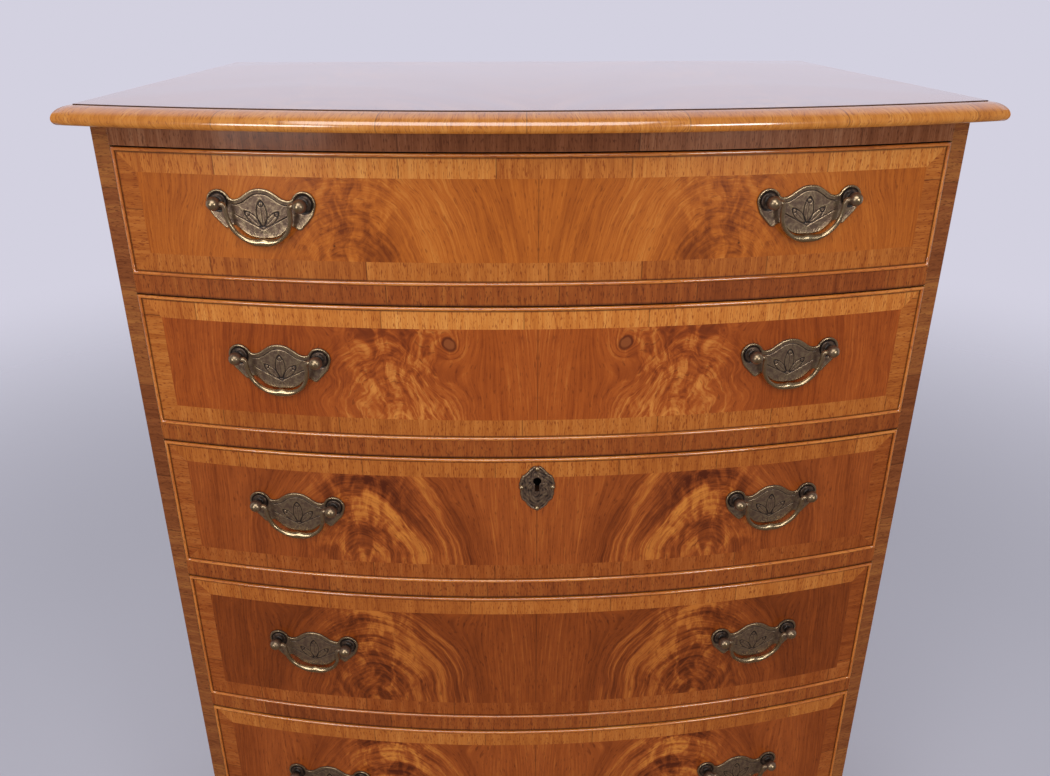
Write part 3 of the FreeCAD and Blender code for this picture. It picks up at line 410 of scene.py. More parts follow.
across = np.unique(np.concatenate([np.linspace(-OPENING_HALF, OPENING_HALF, 97), (-MORTISE_HALF, MORTISE_HALF)]))
front_line, back_line = joined(across, bow(across)), joined(across, RAIL_BACK_Y)
steps_back = np.array([bow(MORTISE_HALF), *MORTISE_Y, RAIL_BACK_Y]) - bow(MORTISE_HALF)
steps_back = (steps_back / steps_back[-1])[:, None, None]
rail_patches = []
for index, low in enumerate(RAIL_LOWS):
    is_frieze = index == len(RAIL_LOWS) - 1
    top = low + (FRIEZE_HIGH if is_frieze else RAIL_HIGH)
    rail_patches.append((*wall(front_line, low, top, 3), int(is_frieze), 1.7 * index))
    rail_patches.append((*wall(back_line, low, top, 3), 2))
    for z in (low, top):
        rows = np.insert(front_line * (1 - steps_back) + back_line * steps_back, 2, z, axis=2)
        out = np.zeros((3, len(across) - 1), bool)
        if index == MORTISED and z == low:
            out[1] = between(across, MORTISE_HALF)
            front_edge, back_edge = rows[1:3, np.abs(across) <= MORTISE_HALF]
            hole = np.concatenate([front_edge, back_edge[::-1], front_edge[:1]])
            rail_patches.append((*wall(hole[:, :2], low, low + MORTISE_HIGH), 2))
            rail_patches.append((*ruled(front_edge + (0, 0, MORTISE_HIGH), back_edge + (0, 0, MORTISE_HIGH)), 2))
        # The first 13 mm of each rail's top and underside, in the gaps, take the dark edge material: painted shade.
        rail_patches.append((rows[:2], rows[:2, :, :2], 3))
        rail_patches.append((rows[1:], rows[1:, :, :2], 2, 0.0, out[1:]))
    for column in (0, -1):
        ends = front_line[column] * (1 - steps_back[:, 0]) + back_line[column] * steps_back[:, 0]
        rail_patches.append((*wall(ends, low, top, 3), 2))
make_piece(
    "front_rails_faced", rail_patches, [rail_facing, frieze_facing, pine_across, painted_gap_shade], replaces=["front_rails"])

# ======== top board
# The top is a softwood board veneered with two mirrored leaves of walnut that meet on the middle line.
# It is French polished to a soft shine, so at a low angle it mirrors the room.
TOP_Y, TOP_RADIUS, TOP_HALF, TOP_BACK_Y = 0.962856, 1.239156, 0.384, 0.2918
TOP_LOW, TOP_HIGH = 1.2104, 1.2264
top_veneer = figured_walnut(
    "walnut_veneer_top_french_polished", 0.2, -0.42, 0.55, ("#4a1e0a", "#7c3f1a", "#9a5722", "#c88c4c"), flame=0.6,
    curl=0.8, edge=0.5, Coat_Weight=1.0, Coat_IOR=1.95)
across = np.linspace(-TOP_HALF, TOP_HALF, 97)
top_front, top_back = joined(across, TOP_Y - np.sqrt(TOP_RADIUS ** 2 - across ** 2)), joined(across, TOP_BACK_Y)
top_patches = []
for z, number in ((TOP_HIGH, 0), (TOP_LOW, 2)):
    grid = ruled(raised(top_front, z), raised(top_back, z), 24)[0]
    top_patches.append((grid, grid[..., :2], number, 5.0))
# The top's front and side edges take the dark edge material: painted shade, which draws a dark line where the moulding
# meets the top.
for plan, number in ((top_front, 1), (top_back, 2), (grid[:, 0, :2], 1), (grid[:, -1, :2], 1)):
    top_patches.append((*wall(plan, TOP_LOW, TOP_HIGH), number))
make_piece(
    "top_board_veneered", top_patches, [top_veneer, painted_gap_shade, pine_across], replaces=["top_board"],
    soften=0.0004)

# ======== top moulding
# A thumb moulding of cross-grained walnut in short lengths runs round the front and sides, mitred at the corners.
# It sits a hair below the top, and hand-rubbed polish has built up on its nose to a warm orange.
thumb_walnut = cross_grained_walnut(
    "walnut_cross_grained_moulding_polished", 0.13, "#95500f", "#bf7422", "#dd9a48", sway=0.014, Coat_Weight=1.0,
    Coat_IOR=2.1)


def moulding(section, half, radius, centre_y, back_y):
    """A section carried round three sides. Section points are (reach out, height). Each point of it runs down the
    left side, along an arc of its own radius, and back up the right side, and the runs meet on the mitres."""
    reach, height = section.T[:, :, None]
    out = half + reach
    corner_y = centre_y - np.sqrt((radius + reach) ** 2 - out ** 2)
    left = joined(-out, back_y + (corner_y - back_y) * np.linspace(0, 1, 33), height)
    x = out * np.linspace(-1, 1, 97)
    front = joined(x, centre_y - np.sqrt((radius + reach) ** 2 - x ** 2), height)
    right = left[:, ::-1] * (-1, 1, 1)
    patches, start = [], 0.0
    for index, grid in enumerate((left, front, right)):
        run = start + lengths(grid[len(grid) // 2])
        start = run[-1]
        patches.append((grid, joined(run, lengths(section)[:, None]), 0, float(index)))
    for column in (left[:, 0], right[:, -1]):
        patches.append((*ruled(column, np.broadcast_to(column.mean(0), column.shape)), 0))
    return patches


turn = np.radians(np.linspace(0, 84, 11))
thumb = [(0.0, 0.0), (0.0115, 0.0), (0.0125, 0.0001), (0.0140, 0.0011), (0.0151, 0.0028)]
thumb += list(zip(0.0155 * np.cos(turn), 0.0045 + 0.0107 * np.sin(turn)))
thumb += [(0.0005, 0.0152), (0.0, 0.0148), (0.0, 0.0)]
make_piece(
    "top_moulding_thumb", moulding(np.array(thumb) + (0, TOP_LOW), TOP_HALF, TOP_RADIUS, TOP_Y, TOP_BACK_Y),
    [thumb_walnut], replaces=["top_moulding"], crease=50)

# ======== base moulding
# A cove over an ovolo in cross-grained walnut, mitred round the foot of the case and glued to it.
# It hides the joint between the case and its feet.
base_walnut = cross_grained_walnut(
    "walnut_cross_grained_base_polished", 0.14, "#54260d", "#88491c", "#ab6c2e", patch=0.25, sway=0.004)
turn = np.radians(np.linspace(0, 90, 9))
ogee = [(0.0, 0.0), (0.0135, 0.0), (0.014, 0.0005)]
ogee += list(zip(0.0095 + 0.0045 * np.cos(turn), 0.008 + 0.0065 * np.sin(turn)))
ogee += list(zip(0.008 - 0.005 * np.sin(turn), 0.023 - 0.0085 * np.cos(turn)))
ogee += [(0.003, 0.026), (0.0, 0.026), (0.0, 0.0)]
make_piece(
    "base_moulding_ogee", moulding(np.array(ogee) + (0, bottom_z), CASE_HALF, BOW_RADIUS, BOW_Y, BACK_Y), [base_walnut],
    replaces=["base_moulding"], crease=50)

# ======== bracket feet
# Each foot is two shaped walnut-faced boards mitred at the corner, with a softwood glue block behind them.
# The rear feet have one shaped board at the side and a plain sloping one across the back.
FOOT_HIGH, FOOT_REACH, FOOT_BOARD = 0.128, 0.010, 0.018
TOE, SHIN, CUSP, LIP, FOOT_LONG = 0.058, 0.064, 0.104, 0.112, 0.150
SHIN_HIGH, CUSP_HIGH, TIP_HIGH = 0.034, 0.084, 0.116
REAR_TOP, BLOCK, BLOCK_LOW = 0.110, 0.034, 0.004
foot_walnut = cross_grained_walnut("walnut_facing_foot_polished", 0.21, "#4e220c", "#80441a", "#a2662c", sway=0.012)
foot_half, inner_half = CASE_HALF + FOOT_REACH, CASE_HALF + FOOT_REACH - FOOT_BOARD
corner_y = float(bow(foot_half, FOOT_REACH))
inner_corner_y = float(bow(inner_half, FOOT_REACH - FOOT_BOARD))


def bracket_edge(run):
    """Height of a bracket's lower edge at a run from its corner: flat toe, leaning shin, two hollow sweeps with a
    cusp between them. The sweeps are circles of 46 and 40 mm through their ends."""
    def sweep(begin, end, radius):
        (x0, z0), (x1, z1) = begin, end
        chord = math.hypot(x1 - x0, z1 - z0)
        rise = math.sqrt(radius ** 2 - chord ** 2 / 4) / chord
        x, z = (x0 + x1) / 2 + rise * (z1 - z0), (z0 + z1) / 2 - rise * (x1 - x0)
        return z + np.sqrt(np.maximum(radius ** 2 - (run - x) ** 2, 0))
    return np.select(
        [run <= TOE, run <= SHIN, run <= CUSP, run <= LIP], [0 * run, (run - TOE) * SHIN_HIGH / (SHIN - TOE),
        sweep((SHIN, SHIN_HIGH), (CUSP, CUSP_HIGH), 0.046), CUSP_HIGH + 0 * run],
        sweep((LIP, CUSP_HIGH), (FOOT_LONG, TIP_HIGH), 0.040))


def bracket(face, back, runs):
    """A shaped board: two upright faces over the same runs from the corner, each from the lower edge to the top."""
    low = bracket_edge(runs)
    height = low + (FOOT_HIGH - low) * np.linspace(0, 1, 9)[:, None]
    outer, inner = (joined(*plan.T, height) for plan in (face, back))
    chart = joined(height, runs)
    edges = [ruled(outer[row], inner[row]) for row in (0, -1)]
    edges += [ruled(outer[:, column], inner[:, column]) for column in (0, -1)]
    return [(outer, chart, 0, 2.0), (inner, chart, 1)] + [(*edge, 1) for edge in edges]


stations = ((0, TOE, 7), (TOE, SHIN, 3), (SHIN, CUSP, 12), (CUSP, LIP, 3), (LIP, FOOT_LONG, 12))
runs = np.unique(np.concatenate([np.linspace(*station) for station in stations]))
front_x, back_x = foot_half - runs, np.minimum(foot_half - runs, inner_half)
side_face = joined(foot_half, corner_y + runs)
side_back = joined(inner_half, np.maximum(corner_y + runs, inner_corner_y))
rear_face = joined(foot_half, BACK_Y - runs)
feet = bracket(joined(front_x, bow(front_x, FOOT_REACH)), joined(back_x, bow(back_x, FOOT_REACH - FOOT_BOARD)), runs)
feet += bracket(side_face, side_back, runs) + bracket(rear_face, rear_face - (FOOT_BOARD, 0), runs)
rear = np.array(
    [(inner_half, 0.0), (inner_half, FOOT_HIGH), (inner_half - REAR_TOP, FOOT_HIGH), (inner_half - TOE, 0.0),
    (inner_half, 0.0)])
rear_front, rear_rear = (np.insert(rear, 1, y, axis=1) for y in (BACK_Y - FOOT_BOARD, BACK_Y))
feet += [(*ruled(sheet[:2], sheet[[3, 2]]), 1) for sheet in (rear_front, rear_rear)]
feet.append((*ruled(rear_front, rear_rear), 1))
for y in (inner_corner_y, BACK_Y - FOOT_BOARD - BLOCK):
    square = np.array([(-BLOCK, 0), (0, 0), (0, BLOCK), (-BLOCK, BLOCK), (-BLOCK, 0)]) + (inner_half, y)
    feet.append((*wall(square, BLOCK_LOW, FOOT_HIGH), 1))
    feet += [(*ruled(raised(square[:2], z), raised(square[[3, 2]], z)), 1) for z in (BLOCK_LOW, FOOT_HIGH)]
make_piece(
    "bracket_feet_shaped", feet + other_side(feet), [foot_walnut, pine_upright], replaces=["bracket_feet"])

# ======== drawer linings
# The drawer sides and backs are thin oak, quarter sawn and planed, and the bottoms are thin oak boards set in grooves.
# They are left bare, and have gone a dry golden brown.
oak_side = plain_timber("oak_lining_front_to_back", 1, 0.006, "#a67a45", "#caa06a")
oak_back = plain_timber("oak_lining_across", 0, 0.006, "#a27642", "#c69c66")
oak_bottom = plain_timber("oak_bottom_board_across", 0, 0.009, "#ad8450", "#cfa873")
DRAWERS = range(1, 7)
for number in DRAWERS:
    for board, made in (("sides", oak_side), ("back", oak_back), ("bottom", oak_bottom)):
        clad(f"drawer_{number}_{board}", made)

# ======== drawer fronts
# Each front is a softwood board cut to the bow and veneered: two mirrored leaves of crotch walnut meet on the middle
# line, and a crossbanding of straight-grained walnut runs round them, mitred at the corners.
# Old wax polish gives a soft shine, with dark wax left in the pores and along the joints. The darker strip along
# the crossbanding's outer edge, by the bead, is painted shade.
DRAWER_HALF, LINING_HALF, BEAD, BANDING = 0.3648, 0.3548, 0.003, 0.0175
BEAD_BACK, TAIL_TIP, FRONT_BACK = -0.010, -0.012367, -0.022
TAILS = {1: 3, 2: 3, 3: 4, 4: 4, 5: 5, 6: 6}
KEYHOLE_Z, KEY_HALF, KEY_LOW, LOCK_HALF, LOCK_Y, LOCK_LOW, HAIR = 0.8841, 0.0042, 0.8725, 0.031, -0.2414, 0.8681, 1e-6
# The crossbanding comes in three copies from light to dark: painted light. The upper two drawers take lighter copies
# than the lower four, and each drawer's top strip a lighter one than its bottom strip and sides.
banding_painted_light, banding_painted_half_shade, banding_painted_shade = (
    cross_grained_walnut(f"walnut_crossbanding_{word}_wax_polished", 0.125, *tones, patch=0.17, corner_shade=0.75)
    for word, *tones in (("pale", "#84390e", "#bb6f2b", "#d9984c"), ("warm", "#722e0a", "#a35a1f", "#c27b36"),
    ("deep", "#652605", "#8f4716", "#b0682c")))
pine_end = plain_timber("pine_end_grain_darkened", 2, 0.004, "#5f3c1c", "#8a5e30", roughness=0.7)
feather_tones = ("#4e1c05", "#7c380f", "#944817", "#bf742c")
calm_veneer = figured_walnut(
    "walnut_veneer_mild_figure_wax_polished", 0.165, -0.054, 0.62, ("#652a08", "#954b14", "#ab5c1b", "#c98136"),
    flame=0.35, curl=0.9, edge=0.15, wild=1.4)
swirled_veneer = figured_walnut(
    "walnut_crotch_veneer_knotted_wax_polished", 0.13, -0.015, 0.8, ("#5a2105", "#843a0e", "#9d4c16", "#c47a34"),
    flame=0.6, curl=1.1, edge=0.075, wild=2.4, knot=(0.079, 0.0746))
feather_veneer = figured_walnut("walnut_crotch_veneer_feathered_wax_polished", 0.170, -0.004, 0.74, feather_tones)
deep_veneer = figured_walnut(
    "walnut_crotch_veneer_deep_wax_polished", 0.172, -0.006, 0.74, ("#421603", "#6c2f0a", "#843d10", "#b06524"))
tall_veneer = figured_walnut("walnut_crotch_veneer_tall_wax_polished", 0.165, -0.02, 0.56, feather_tones)
FIELD_VENEER = dict(zip(DRAWERS, (calm_veneer, swirled_veneer, feather_veneer, deep_veneer, tall_veneer, tall_veneer)))


def on_bow(x, z, reach=0.0):
    """Points on the bow, or reach proud of it, at x and z."""
    return joined(x, bow(x, reach), z)


def tail_heights(low, high, count):
    """Heights of the flanks of a side's dovetails, which show in the front's ends: at their tips, and at the front's
    hollow back, where each tail is narrower by 1.54 mm at both flanks. The front's own edges come first and last."""
    room = (high - low - 0.007) / count
    flanks = low + 0.006 + room * np.arange(count)[:, None] + (0, room - 0.010)
    tips = np.concatenate([[low], flanks.ravel(), [high]])
    backs = np.concatenate([[low], (flanks + (0.00154, -0.00154)).ravel(), [high]])
    return tips, backs


for number in DRAWERS:
    low, high = (corner.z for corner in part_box(f"drawer_{number}_front"))
    face_half, field_half = DRAWER_HALF - BEAD, DRAWER_HALF - BEAD - BANDING
    face_low, face_high = low + BEAD, high - BEAD
    field_low, field_high = face_low + BANDING, face_high - BANDING
    locked = number == 3
    lining = LINING_HALF / DRAWER_HALF
    share = np.concatenate([[-1, -lining], np.linspace(-1, 1, 129)[2:-2], [lining, 1]])
    tips, backs = tail_heights(low, high, TAILS[number])
    is_tail = np.arange(len(tips) - 1) % 2 == 1
    if locked:
        share = np.unique(
            np.concatenate([share, np.array([-LOCK_HALF, LOCK_HALF]) / DRAWER_HALF,
            np.array([-KEY_HALF, KEY_HALF]) / field_half]))
        key_tip = low + (KEY_LOW - field_low) / (field_high - field_low) * (high - low)
        fuller = np.sort(np.append(tips, [key_tip, np.interp(LOCK_LOW, backs, tips)]))
        is_tail = is_tail[np.searchsorted(tips, (fuller[1:] + fuller[:-1]) / 2) - 1]
        tips, backs = fuller, np.interp(fuller, tips, backs)
    # the veneered field, with a gap for the key
    climb = (tips - low) / (high - low)
    rows = field_low + climb * (field_high - field_low)
    grid = on_bow(share * field_half, rows[:, None])
    arc = np.arcsin(grid[..., 0] / BOW_RADIUS) * BOW_RADIUS
    out = np.zeros((len(rows) - 1, len(share) - 1), bool)
    if locked:
        out[rows[:-1] >= KEY_LOW - HAIR] = between(share * field_half, KEY_HALF)
    patches = [(grid, joined(arc, grid[..., 2] - field_low), 0, 7.0 * number, out)]
    # the crossbanding, mitred where its four strips meet
    depth = np.linspace(0, 1, 4)
    x = face_half + (field_half - face_half) * depth
    z_low, z_high = face_low + (field_low - face_low) * depth, face_high + (field_high - face_high) * depth
    # The top strip takes finish 1 and the bottom strip and sides finish 5, a darker copy: painted light from above.
    for z, made, leaf in ((z_low, 5, 0.0), (z_high, 1, 1.0)):
        grid = on_bow(share * x[:, None], z[:, None])
        patches.append((grid, joined(grid[..., 0], depth[:, None] * BANDING), made, 3.1 * number + leaf))
    for side in (-1, 1):
        grid = on_bow(side * x, z_low + (z_high - z_low) * climb[:, None])
        patches.append((grid, joined(grid[..., 2], depth * BANDING), 5, 3.1 * number + 0.5 * side))
    # the rebate for the beads, the ledge under them, the edges and the hollow back
    levels = face_low + (face_high - face_low) * climb
    rings = []
    for half, heights, reach in (
            (face_half, levels, 0.0), (face_half, levels, BEAD_BACK), (DRAWER_HALF, tips, BEAD_BACK),
            (DRAWER_HALF, tips, TAIL_TIP), (DRAWER_HALF, backs, FRONT_BACK)):
        up = on_bow(half, heights, reach)
        rings.append(
            (up, on_bow(share * half, heights[-1], reach), on_bow(share * half, heights[0], reach), up * (-1, 1, 1)))
    over_lock = between(share * DRAWER_HALF, LOCK_HALF)
    for index, (near, far) in enumerate(zip(rings, rings[1:])):
        for edge, (first, second) in enumerate(zip(near, far)):
            out = is_tail if index == 3 and edge in (0, 3) else np.zeros(len(first) - 1, bool)
            if locked and index > 1 and edge == 1:
                out = over_lock
            # The rebate and the ledge under the bead take the dark edge material: painted shade in the gap.
            made = 3 if index < 2 else 4 if edge in (0, 3) else 2
            patches.append((*ruled(first, second), made, 0.0, out[None]))
    grid = on_bow(share * DRAWER_HALF, backs[:, None], FRONT_BACK)
    out = np.zeros((len(backs) - 1, len(share) - 1), bool)
    out[is_tail, 0] = out[is_tail, -1] = True
    if locked:
        out[backs[:-1] >= LOCK_LOW - HAIR] |= over_lock
    patches.append((grid, grid[..., ::2], 2, 0.0, out))
    # the sockets that take the sides' tails
    for side in (-1, 1):
        near, far = on_bow(side * DRAWER_HALF, tips, TAIL_TIP), on_bow(side * DRAWER_HALF, backs, FRONT_BACK)
        deep_near = near - (side * (DRAWER_HALF - LINING_HALF), 0, 0)
        deep_far = on_bow(side * LINING_HALF, backs, FRONT_BACK)
        for first, second in ((near, deep_near), (deep_near, deep_far)):
            patches.append((*ruled(first, second), 4, 0.0, ~is_tail[None]))
        for index in np.flatnonzero(np.diff(np.concatenate([[0], is_tail, [0]]))):
            patches.append((*ruled(*np.array([(near[index], far[index]), (deep_near[index], deep_far[index])])), 4))
    # the recess for the lock, with the keyhole through to the face
    if locked:
        lock_row, key_row = np.searchsorted(backs, LOCK_LOW - HAIR), np.searchsorted(tips, key_tip - HAIR)
        above, key_row = len(backs) - 1 - lock_row, key_row - lock_row
        floor_z = np.interp(np.arange(above + 1), [0, key_row, above], [LOCK_LOW, KEY_LOW, high])
        face_z = rows[lock_row + key_row:]
        round_key = np.repeat([-KEY_HALF, 0, KEY_HALF, 0, -KEY_HALF], [1, 1, len(face_z), 1, len(face_z)])
        on_face, on_floor = (
            np.concatenate([[KEY_LOW] * 2, z, [top], z[::-1]]) for z,
            top in ((face_z, face_z[-1]), (floor_z[key_row:], high)))
        # The keyhole's walls take the dark edge material: painted shade, so that the keyhole reads dark.
        patches.append((*ruled(on_bow(round_key, on_face), joined(round_key, LOCK_Y, on_floor)), 3))
        inside = share[np.abs(share) * DRAWER_HALF <= LOCK_HALF + HAIR] * DRAWER_HALF
        across = np.where(np.abs(inside) < KEY_HALF * 1.1, inside * field_half / DRAWER_HALF, inside)
        floor_grid = joined(across, LOCK_Y, floor_z[:, None])
        for edge, row in ((on_bow(inside, high, BEAD_BACK), -1), (on_bow(inside, LOCK_LOW, FRONT_BACK), 0)):
            patches.append((*ruled(edge, floor_grid[row]), 2))
        for end in (0, -1):
            z = backs[lock_row:]
            grid = np.stack([floor_grid[:, end], on_bow(inside[end], (floor_z + z) / 2, TAIL_TIP),
                             on_bow(inside[end], z, FRONT_BACK)])
            patches.append((grid, grid[..., 1:], 2))
        out = np.zeros((above, len(across) - 1), bool)
        out[key_row:] = between(across, KEY_HALF)
        patches.append((floor_grid, floor_grid[..., ::2], 2, 0.0, out))
    make_piece(
        f"drawer_{number}_front_veneered", patches, [FIELD_VENEER[number], banding_painted_light if number < 3 else banding_painted_half_shade,
        pine_across, painted_gap_shade, pine_end, banding_painted_half_shade if number < 3 else banding_painted_shade], body=f"drawer_{number}",
        replaces=[f"drawer_{number}_front"], crease=30)

# ======== cock beads
# Thin strips of walnut stand proud round each front, glued in a rebate and mitred, to save the veneer's edges.
# Their noses are rounded. Their bright orange is partly wear from handling and partly a painted highlight, and the
# dark lines either side of them are painted shade in the gaps.
# Its tones are lighter than the rails': partly wear, partly a painted highlight along the bead.
bead_walnut_painted_highlight = cross_grained_walnut(
    "walnut_cock_bead_worn_and_painted_highlight", 0.9, "#863a0a", "#c26d22", "#e59c46", patch=0.1, crack=0.3, Coat_Weight=1.0,
    Coat_IOR=2.1)
turn = np.radians(np.linspace(180, 0, 9))
nose = [(0.0, BEAD_BACK), (0.0, -0.0006)]
nose += list(zip(0.0015 + 0.0015 * np.cos(turn), 0.0004 + 0.0014 * np.sin(turn)))
nose += [(BEAD, -0.004), (BEAD, BEAD_BACK), (0.0, BEAD_BACK)]
inset, reach = np.array(nose).T[:, :, None]
rounds = lengths(nose)[:, None]
for number in DRAWERS:
    low, high = (corner.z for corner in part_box(f"drawer_{number}_front"))
    share, climb = np.linspace(-1, 1, 129), np.linspace(0, 1, 13)
    half = DRAWER_HALF - inset
    z = low + inset + (high - low - 2 * inset) * climb
    patches = []
    for index, grid in enumerate(
            (on_bow(share * half, low + inset, reach), on_bow(share * half, high - inset, reach),
            on_bow(-half, z, reach), on_bow(half, z, reach))):
        run = grid[..., 0] if index < 2 else grid[..., 2]
        chart = joined(rounds, run)
        # The bead's outer side, down in the gap, takes the dark edge material: painted shade.
        patches.append((grid[:2], chart[:2], 1))
        patches.append((grid[1:], chart[1:], 0, number + 0.3 * index))
    make_piece(f"drawer_{number}_beading", patches, [bead_walnut_painted_highlight, painted_gap_shade], body=f"drawer_{number}",
               replaces=[f"drawer_{number}_cock_beads"], crease=50)

# ======== handle plates and posts
# A swan-neck handle's plate is cast brass with a raised rim and an engraved three-petal flower. Two turned posts
# with ball ends go through plate and front, and square nuts hold them inside.
# Old lacquer and wax have left the brass brown in its hollows and yellow where hands have rubbed it.
# On the plates, the bright line near the edge and beside each engraved line is partly painted highlight, and the dark
# ring round each post is partly painted shade cast by the ball.
HANDLE_X, HANDLE_TURN, POST, BALL_OUT, BALL, NUT_Y = 0.235, math.radians(9.905), 38.0, 10.5, 6.0, 22.9
HANDLE_Z = {1: 1.1472, 2: 1.0063, 3: 0.85115, 4: 0.6816, 5: 0.4905, 6: 0.2774}


def patinated_brass(name, rub_and_light, flat, hollow, roughness, painted_shade_before=None):
    """Cast brass under old lacquer and brown patina, which hide the metal in hollows and are rubbed off on edges.
    The leaf value is how high a point stands, 0 in a hollow to 1 on a rubbed edge, with painted light and shade.
    Blotches about 4 mm wide and specks under 1 mm break up the patina. Given a depth, it is painted black nearer the
    front than that: painted shade, as at the bottom of a keyhole."""
    made, tree, surface = finish(name)
    rub_and_light_level = add(tree, "Attribute", out="Fac", attribute_name="leaf")
    place = add(tree, "TexCoord", out="Object")
    blotch, speck = noise(place, 260.0, 3.0), noise(place, 1300.0, 2.0)
    for pattern, strength in ((blotch, 0.85), (speck, 0.15)):
        rub_and_light_level = reckon("MULTIPLY_ADD", pattern, strength, rub_and_light_level)
    rub_and_light_level = slope(rub_and_light_level, 0.4, 1.5)
    colour = add(tree, "ValToRGB", {0: rub_and_light_level}, stops=((0.04, hollow), (0.36, flat), (0.85, rub_and_light)))
    # Painted shade: nearer the front than the given depth, the lock's face behind the keyhole is painted black.
    if painted_shade_before:
        deep = reckon("LESS_THAN", part(place, "Y"), painted_shade_before)
        colour = blend(deep, colour, "#0c0805")
    dress(tree, surface, colour, speck, 0.00001, Metallic=slope(rub_and_light_level, 0, 0.7, 0.25, 1),
          Roughness=slope(rub_and_light_level, 0, 1, roughness + 0.16, roughness))
    return made


handle_brass = patinated_brass("brass_cast_antique_patina", "#c9b18c", "#6e5747", "#20150f", 0.24)
nut_brass = patinated_brass("brass_turned_dull", "#a58a56", "#80693f", "#4a3920", 0.4)


def smooth_path(corners, count, closed=False):
    """A smooth line through corner points: each stretch is the Catmull-Rom cubic of its four nearest corners."""
    corners = np.asarray(corners, float)
    if not closed:
        corners = np.concatenate([2 * corners[:1] - corners[1:2], corners, 2 * corners[-1:] - corners[-2:-1]])
    stretches = len(corners) if closed else len(corners) - 3
    where = np.linspace(0, stretches, count + 1)
    where = where[:-1] if closed else where
    index = np.minimum(where.astype(int), stretches - 1)
    t = (where - index)[:, None]
    shift = -1 if closed else 0
    a, b, c, d = (corners[(index + shift + k) % len(corners)] for k in range(4))
    return 0.5 * (2 * b + (c - a) * t + (2 * a - 5 * b + 4 * c - d) * t ** 2 + (3 * b - a - 3 * c + d) * t ** 3)


def evenly(line, count):
    """The same line with its points at equal distances."""
    run = lengths(line)
    where = np.linspace(0, run[-1], count + 1)
    return np.stack([np.interp(where, run, axis) for axis in line.T], -1)


def lathe(profile, centre, segments=40):
    """A profile of (radius, out) turned round an axis that points out of the drawer, in millimetres."""
    radius, out = np.asarray(profile, float).T[:, :, None]
    angle = np.linspace(0, 2 * np.pi, segments + 1)
    return joined(centre[0] + radius * np.cos(angle), -out, centre[1] + radius * np.sin(angle))


def placed(grid, side, z):
    """Handle millimetres to the room: turned to the bow at one side and set at a height."""
    angle = side * HANDLE_TURN
    spot = (side * HANDLE_X, float(bow(HANDLE_X)), z)
    turned = np.array([[math.cos(angle), -math.sin(angle), 0], [math.sin(angle), math.cos(angle), 0], [0, 0, 1]])
    return grid / 1000 @ turned.T + spot


ear = np.radians([140, 112, 84, 56, 28, 0, -28])
right_half = [(0, 12), (7, 10.9), (13.3, 7.5), (18.6, 3.9), (24, 2.4), (28.0, 3.6)]
right_half += list(zip(POST + 10.5 * np.cos(ear), 10.5 * np.sin(ear)))
right_half += [
    (45.0, -10.6), (41.0, -15.2), (37.0, -19.4), (34.0, -22.4), (31.4, -22.2), (29.2, -20.6), (27.0, -19.6),
    (24.6, -20.0), (21.6, -22.2), (15.4, -27.6), (8.4, -30.2), (0, -31)]
around = smooth_path(right_half + [(-x, z) for x, z in right_half[-2:0:-1]], 900, closed=True)
around = np.concatenate([around, around[:1]])
turns = [0, np.argmax(around[:, 0]), 450, np.argmin(around[:, 0]), 900]
quarters = [evenly(around[first:last + 1], 110)[:-1] for first, last in zip(turns, turns[1:])]
rim_line = np.concatenate(quarters + [around[:1]])
share = np.arange(110) / 110
spine_x = 36 * np.concatenate([share, 1 - share, -share, share - 1, [0]])
blend_out = np.clip((np.abs(spine_x) - 18) / 16, 0, 1)
spine_line = joined(spine_x, -9.0 * (1 - blend_out * blend_out * (3 - 2 * blend_out)))
inward = (np.linspace(0, 1, 37) ** 1.15)[:, None, None]
flat = rim_line * (1 - inward) + spine_line * inward
x, z = flat[..., 0], flat[..., 1]
edge = np.full(x.shape, 99.0)
for start in range(0, 440, 40):
    edge = np.minimum(edge, np.linalg.norm(flat[:, :, None] - rim_line[start:start + 40], axis=3).min(2))


def groove(distance, width):
    """A round-bottomed cut: 1 on its line, falling off as a bell curve."""
    return np.exp(-(distance / width) ** 2)


def petal(x, z, cx, cz, long, wide, lean):
    """Distance from the outline of a leaf shape: an ellipse, turned by a lean in degrees, and pointed at its ends."""
    a = math.radians(lean)
    u = ((x - cx) * math.sin(a) + (z - cz) * math.cos(a)) / long
    v = ((x - cx) * math.cos(a) - (z - cz) * math.sin(a)) / wide
    return (np.sqrt(u * u + (np.abs(v) + 0.15 * u * u) ** 2 + 1e-9) - 1) * wide


valley = np.abs(x) * 0.52 - 23.0
from_line = [
    np.abs(edge - 4.4) + 9 * ((z < valley) | (np.abs(x) > 26)), np.abs(z - valley) * 0.88 + 9 * (np.abs(x) > 25)]
for cx, cz, long, wide, lean in ((0, -9.4, 11.2, 4.6, 0), (-8.4, -14.2, 9.2, 3.3, -46), (8.4, -14.2, 9.2, 3.3, 46)):
    tip = math.radians(lean)
    from_line += [
        np.abs(petal(x, z, cx, cz, long, wide, lean)), np.abs(petal(x, z, cx, cz, long * 0.66, 0.3, lean)) + 0.25,
        np.abs(np.hypot(x - cx - 0.72 * long * math.sin(tip), z - cz - 0.72 * long * math.cos(tip)) - 2.0)]
for tick in (-11.5, -9.0, -6.5, 6.5, 9.0, 11.5):
    off = (x - tick) - (z + 27.2) * 0.5 * np.sign(tick)
    from_line.append(np.abs(off) + 0.15 + 9 * (np.abs(z + 27.2) > 1.5))
nearest = np.minimum.reduce(from_line)
# Beside each engraved line lies a bright line: partly the raised lip of the cut, partly painted highlight.
cut, burr_and_sheen = groove(nearest, 0.36), groove(nearest - 0.75, 0.3)
round_over = np.clip(edge / 0.9, 0, 1)
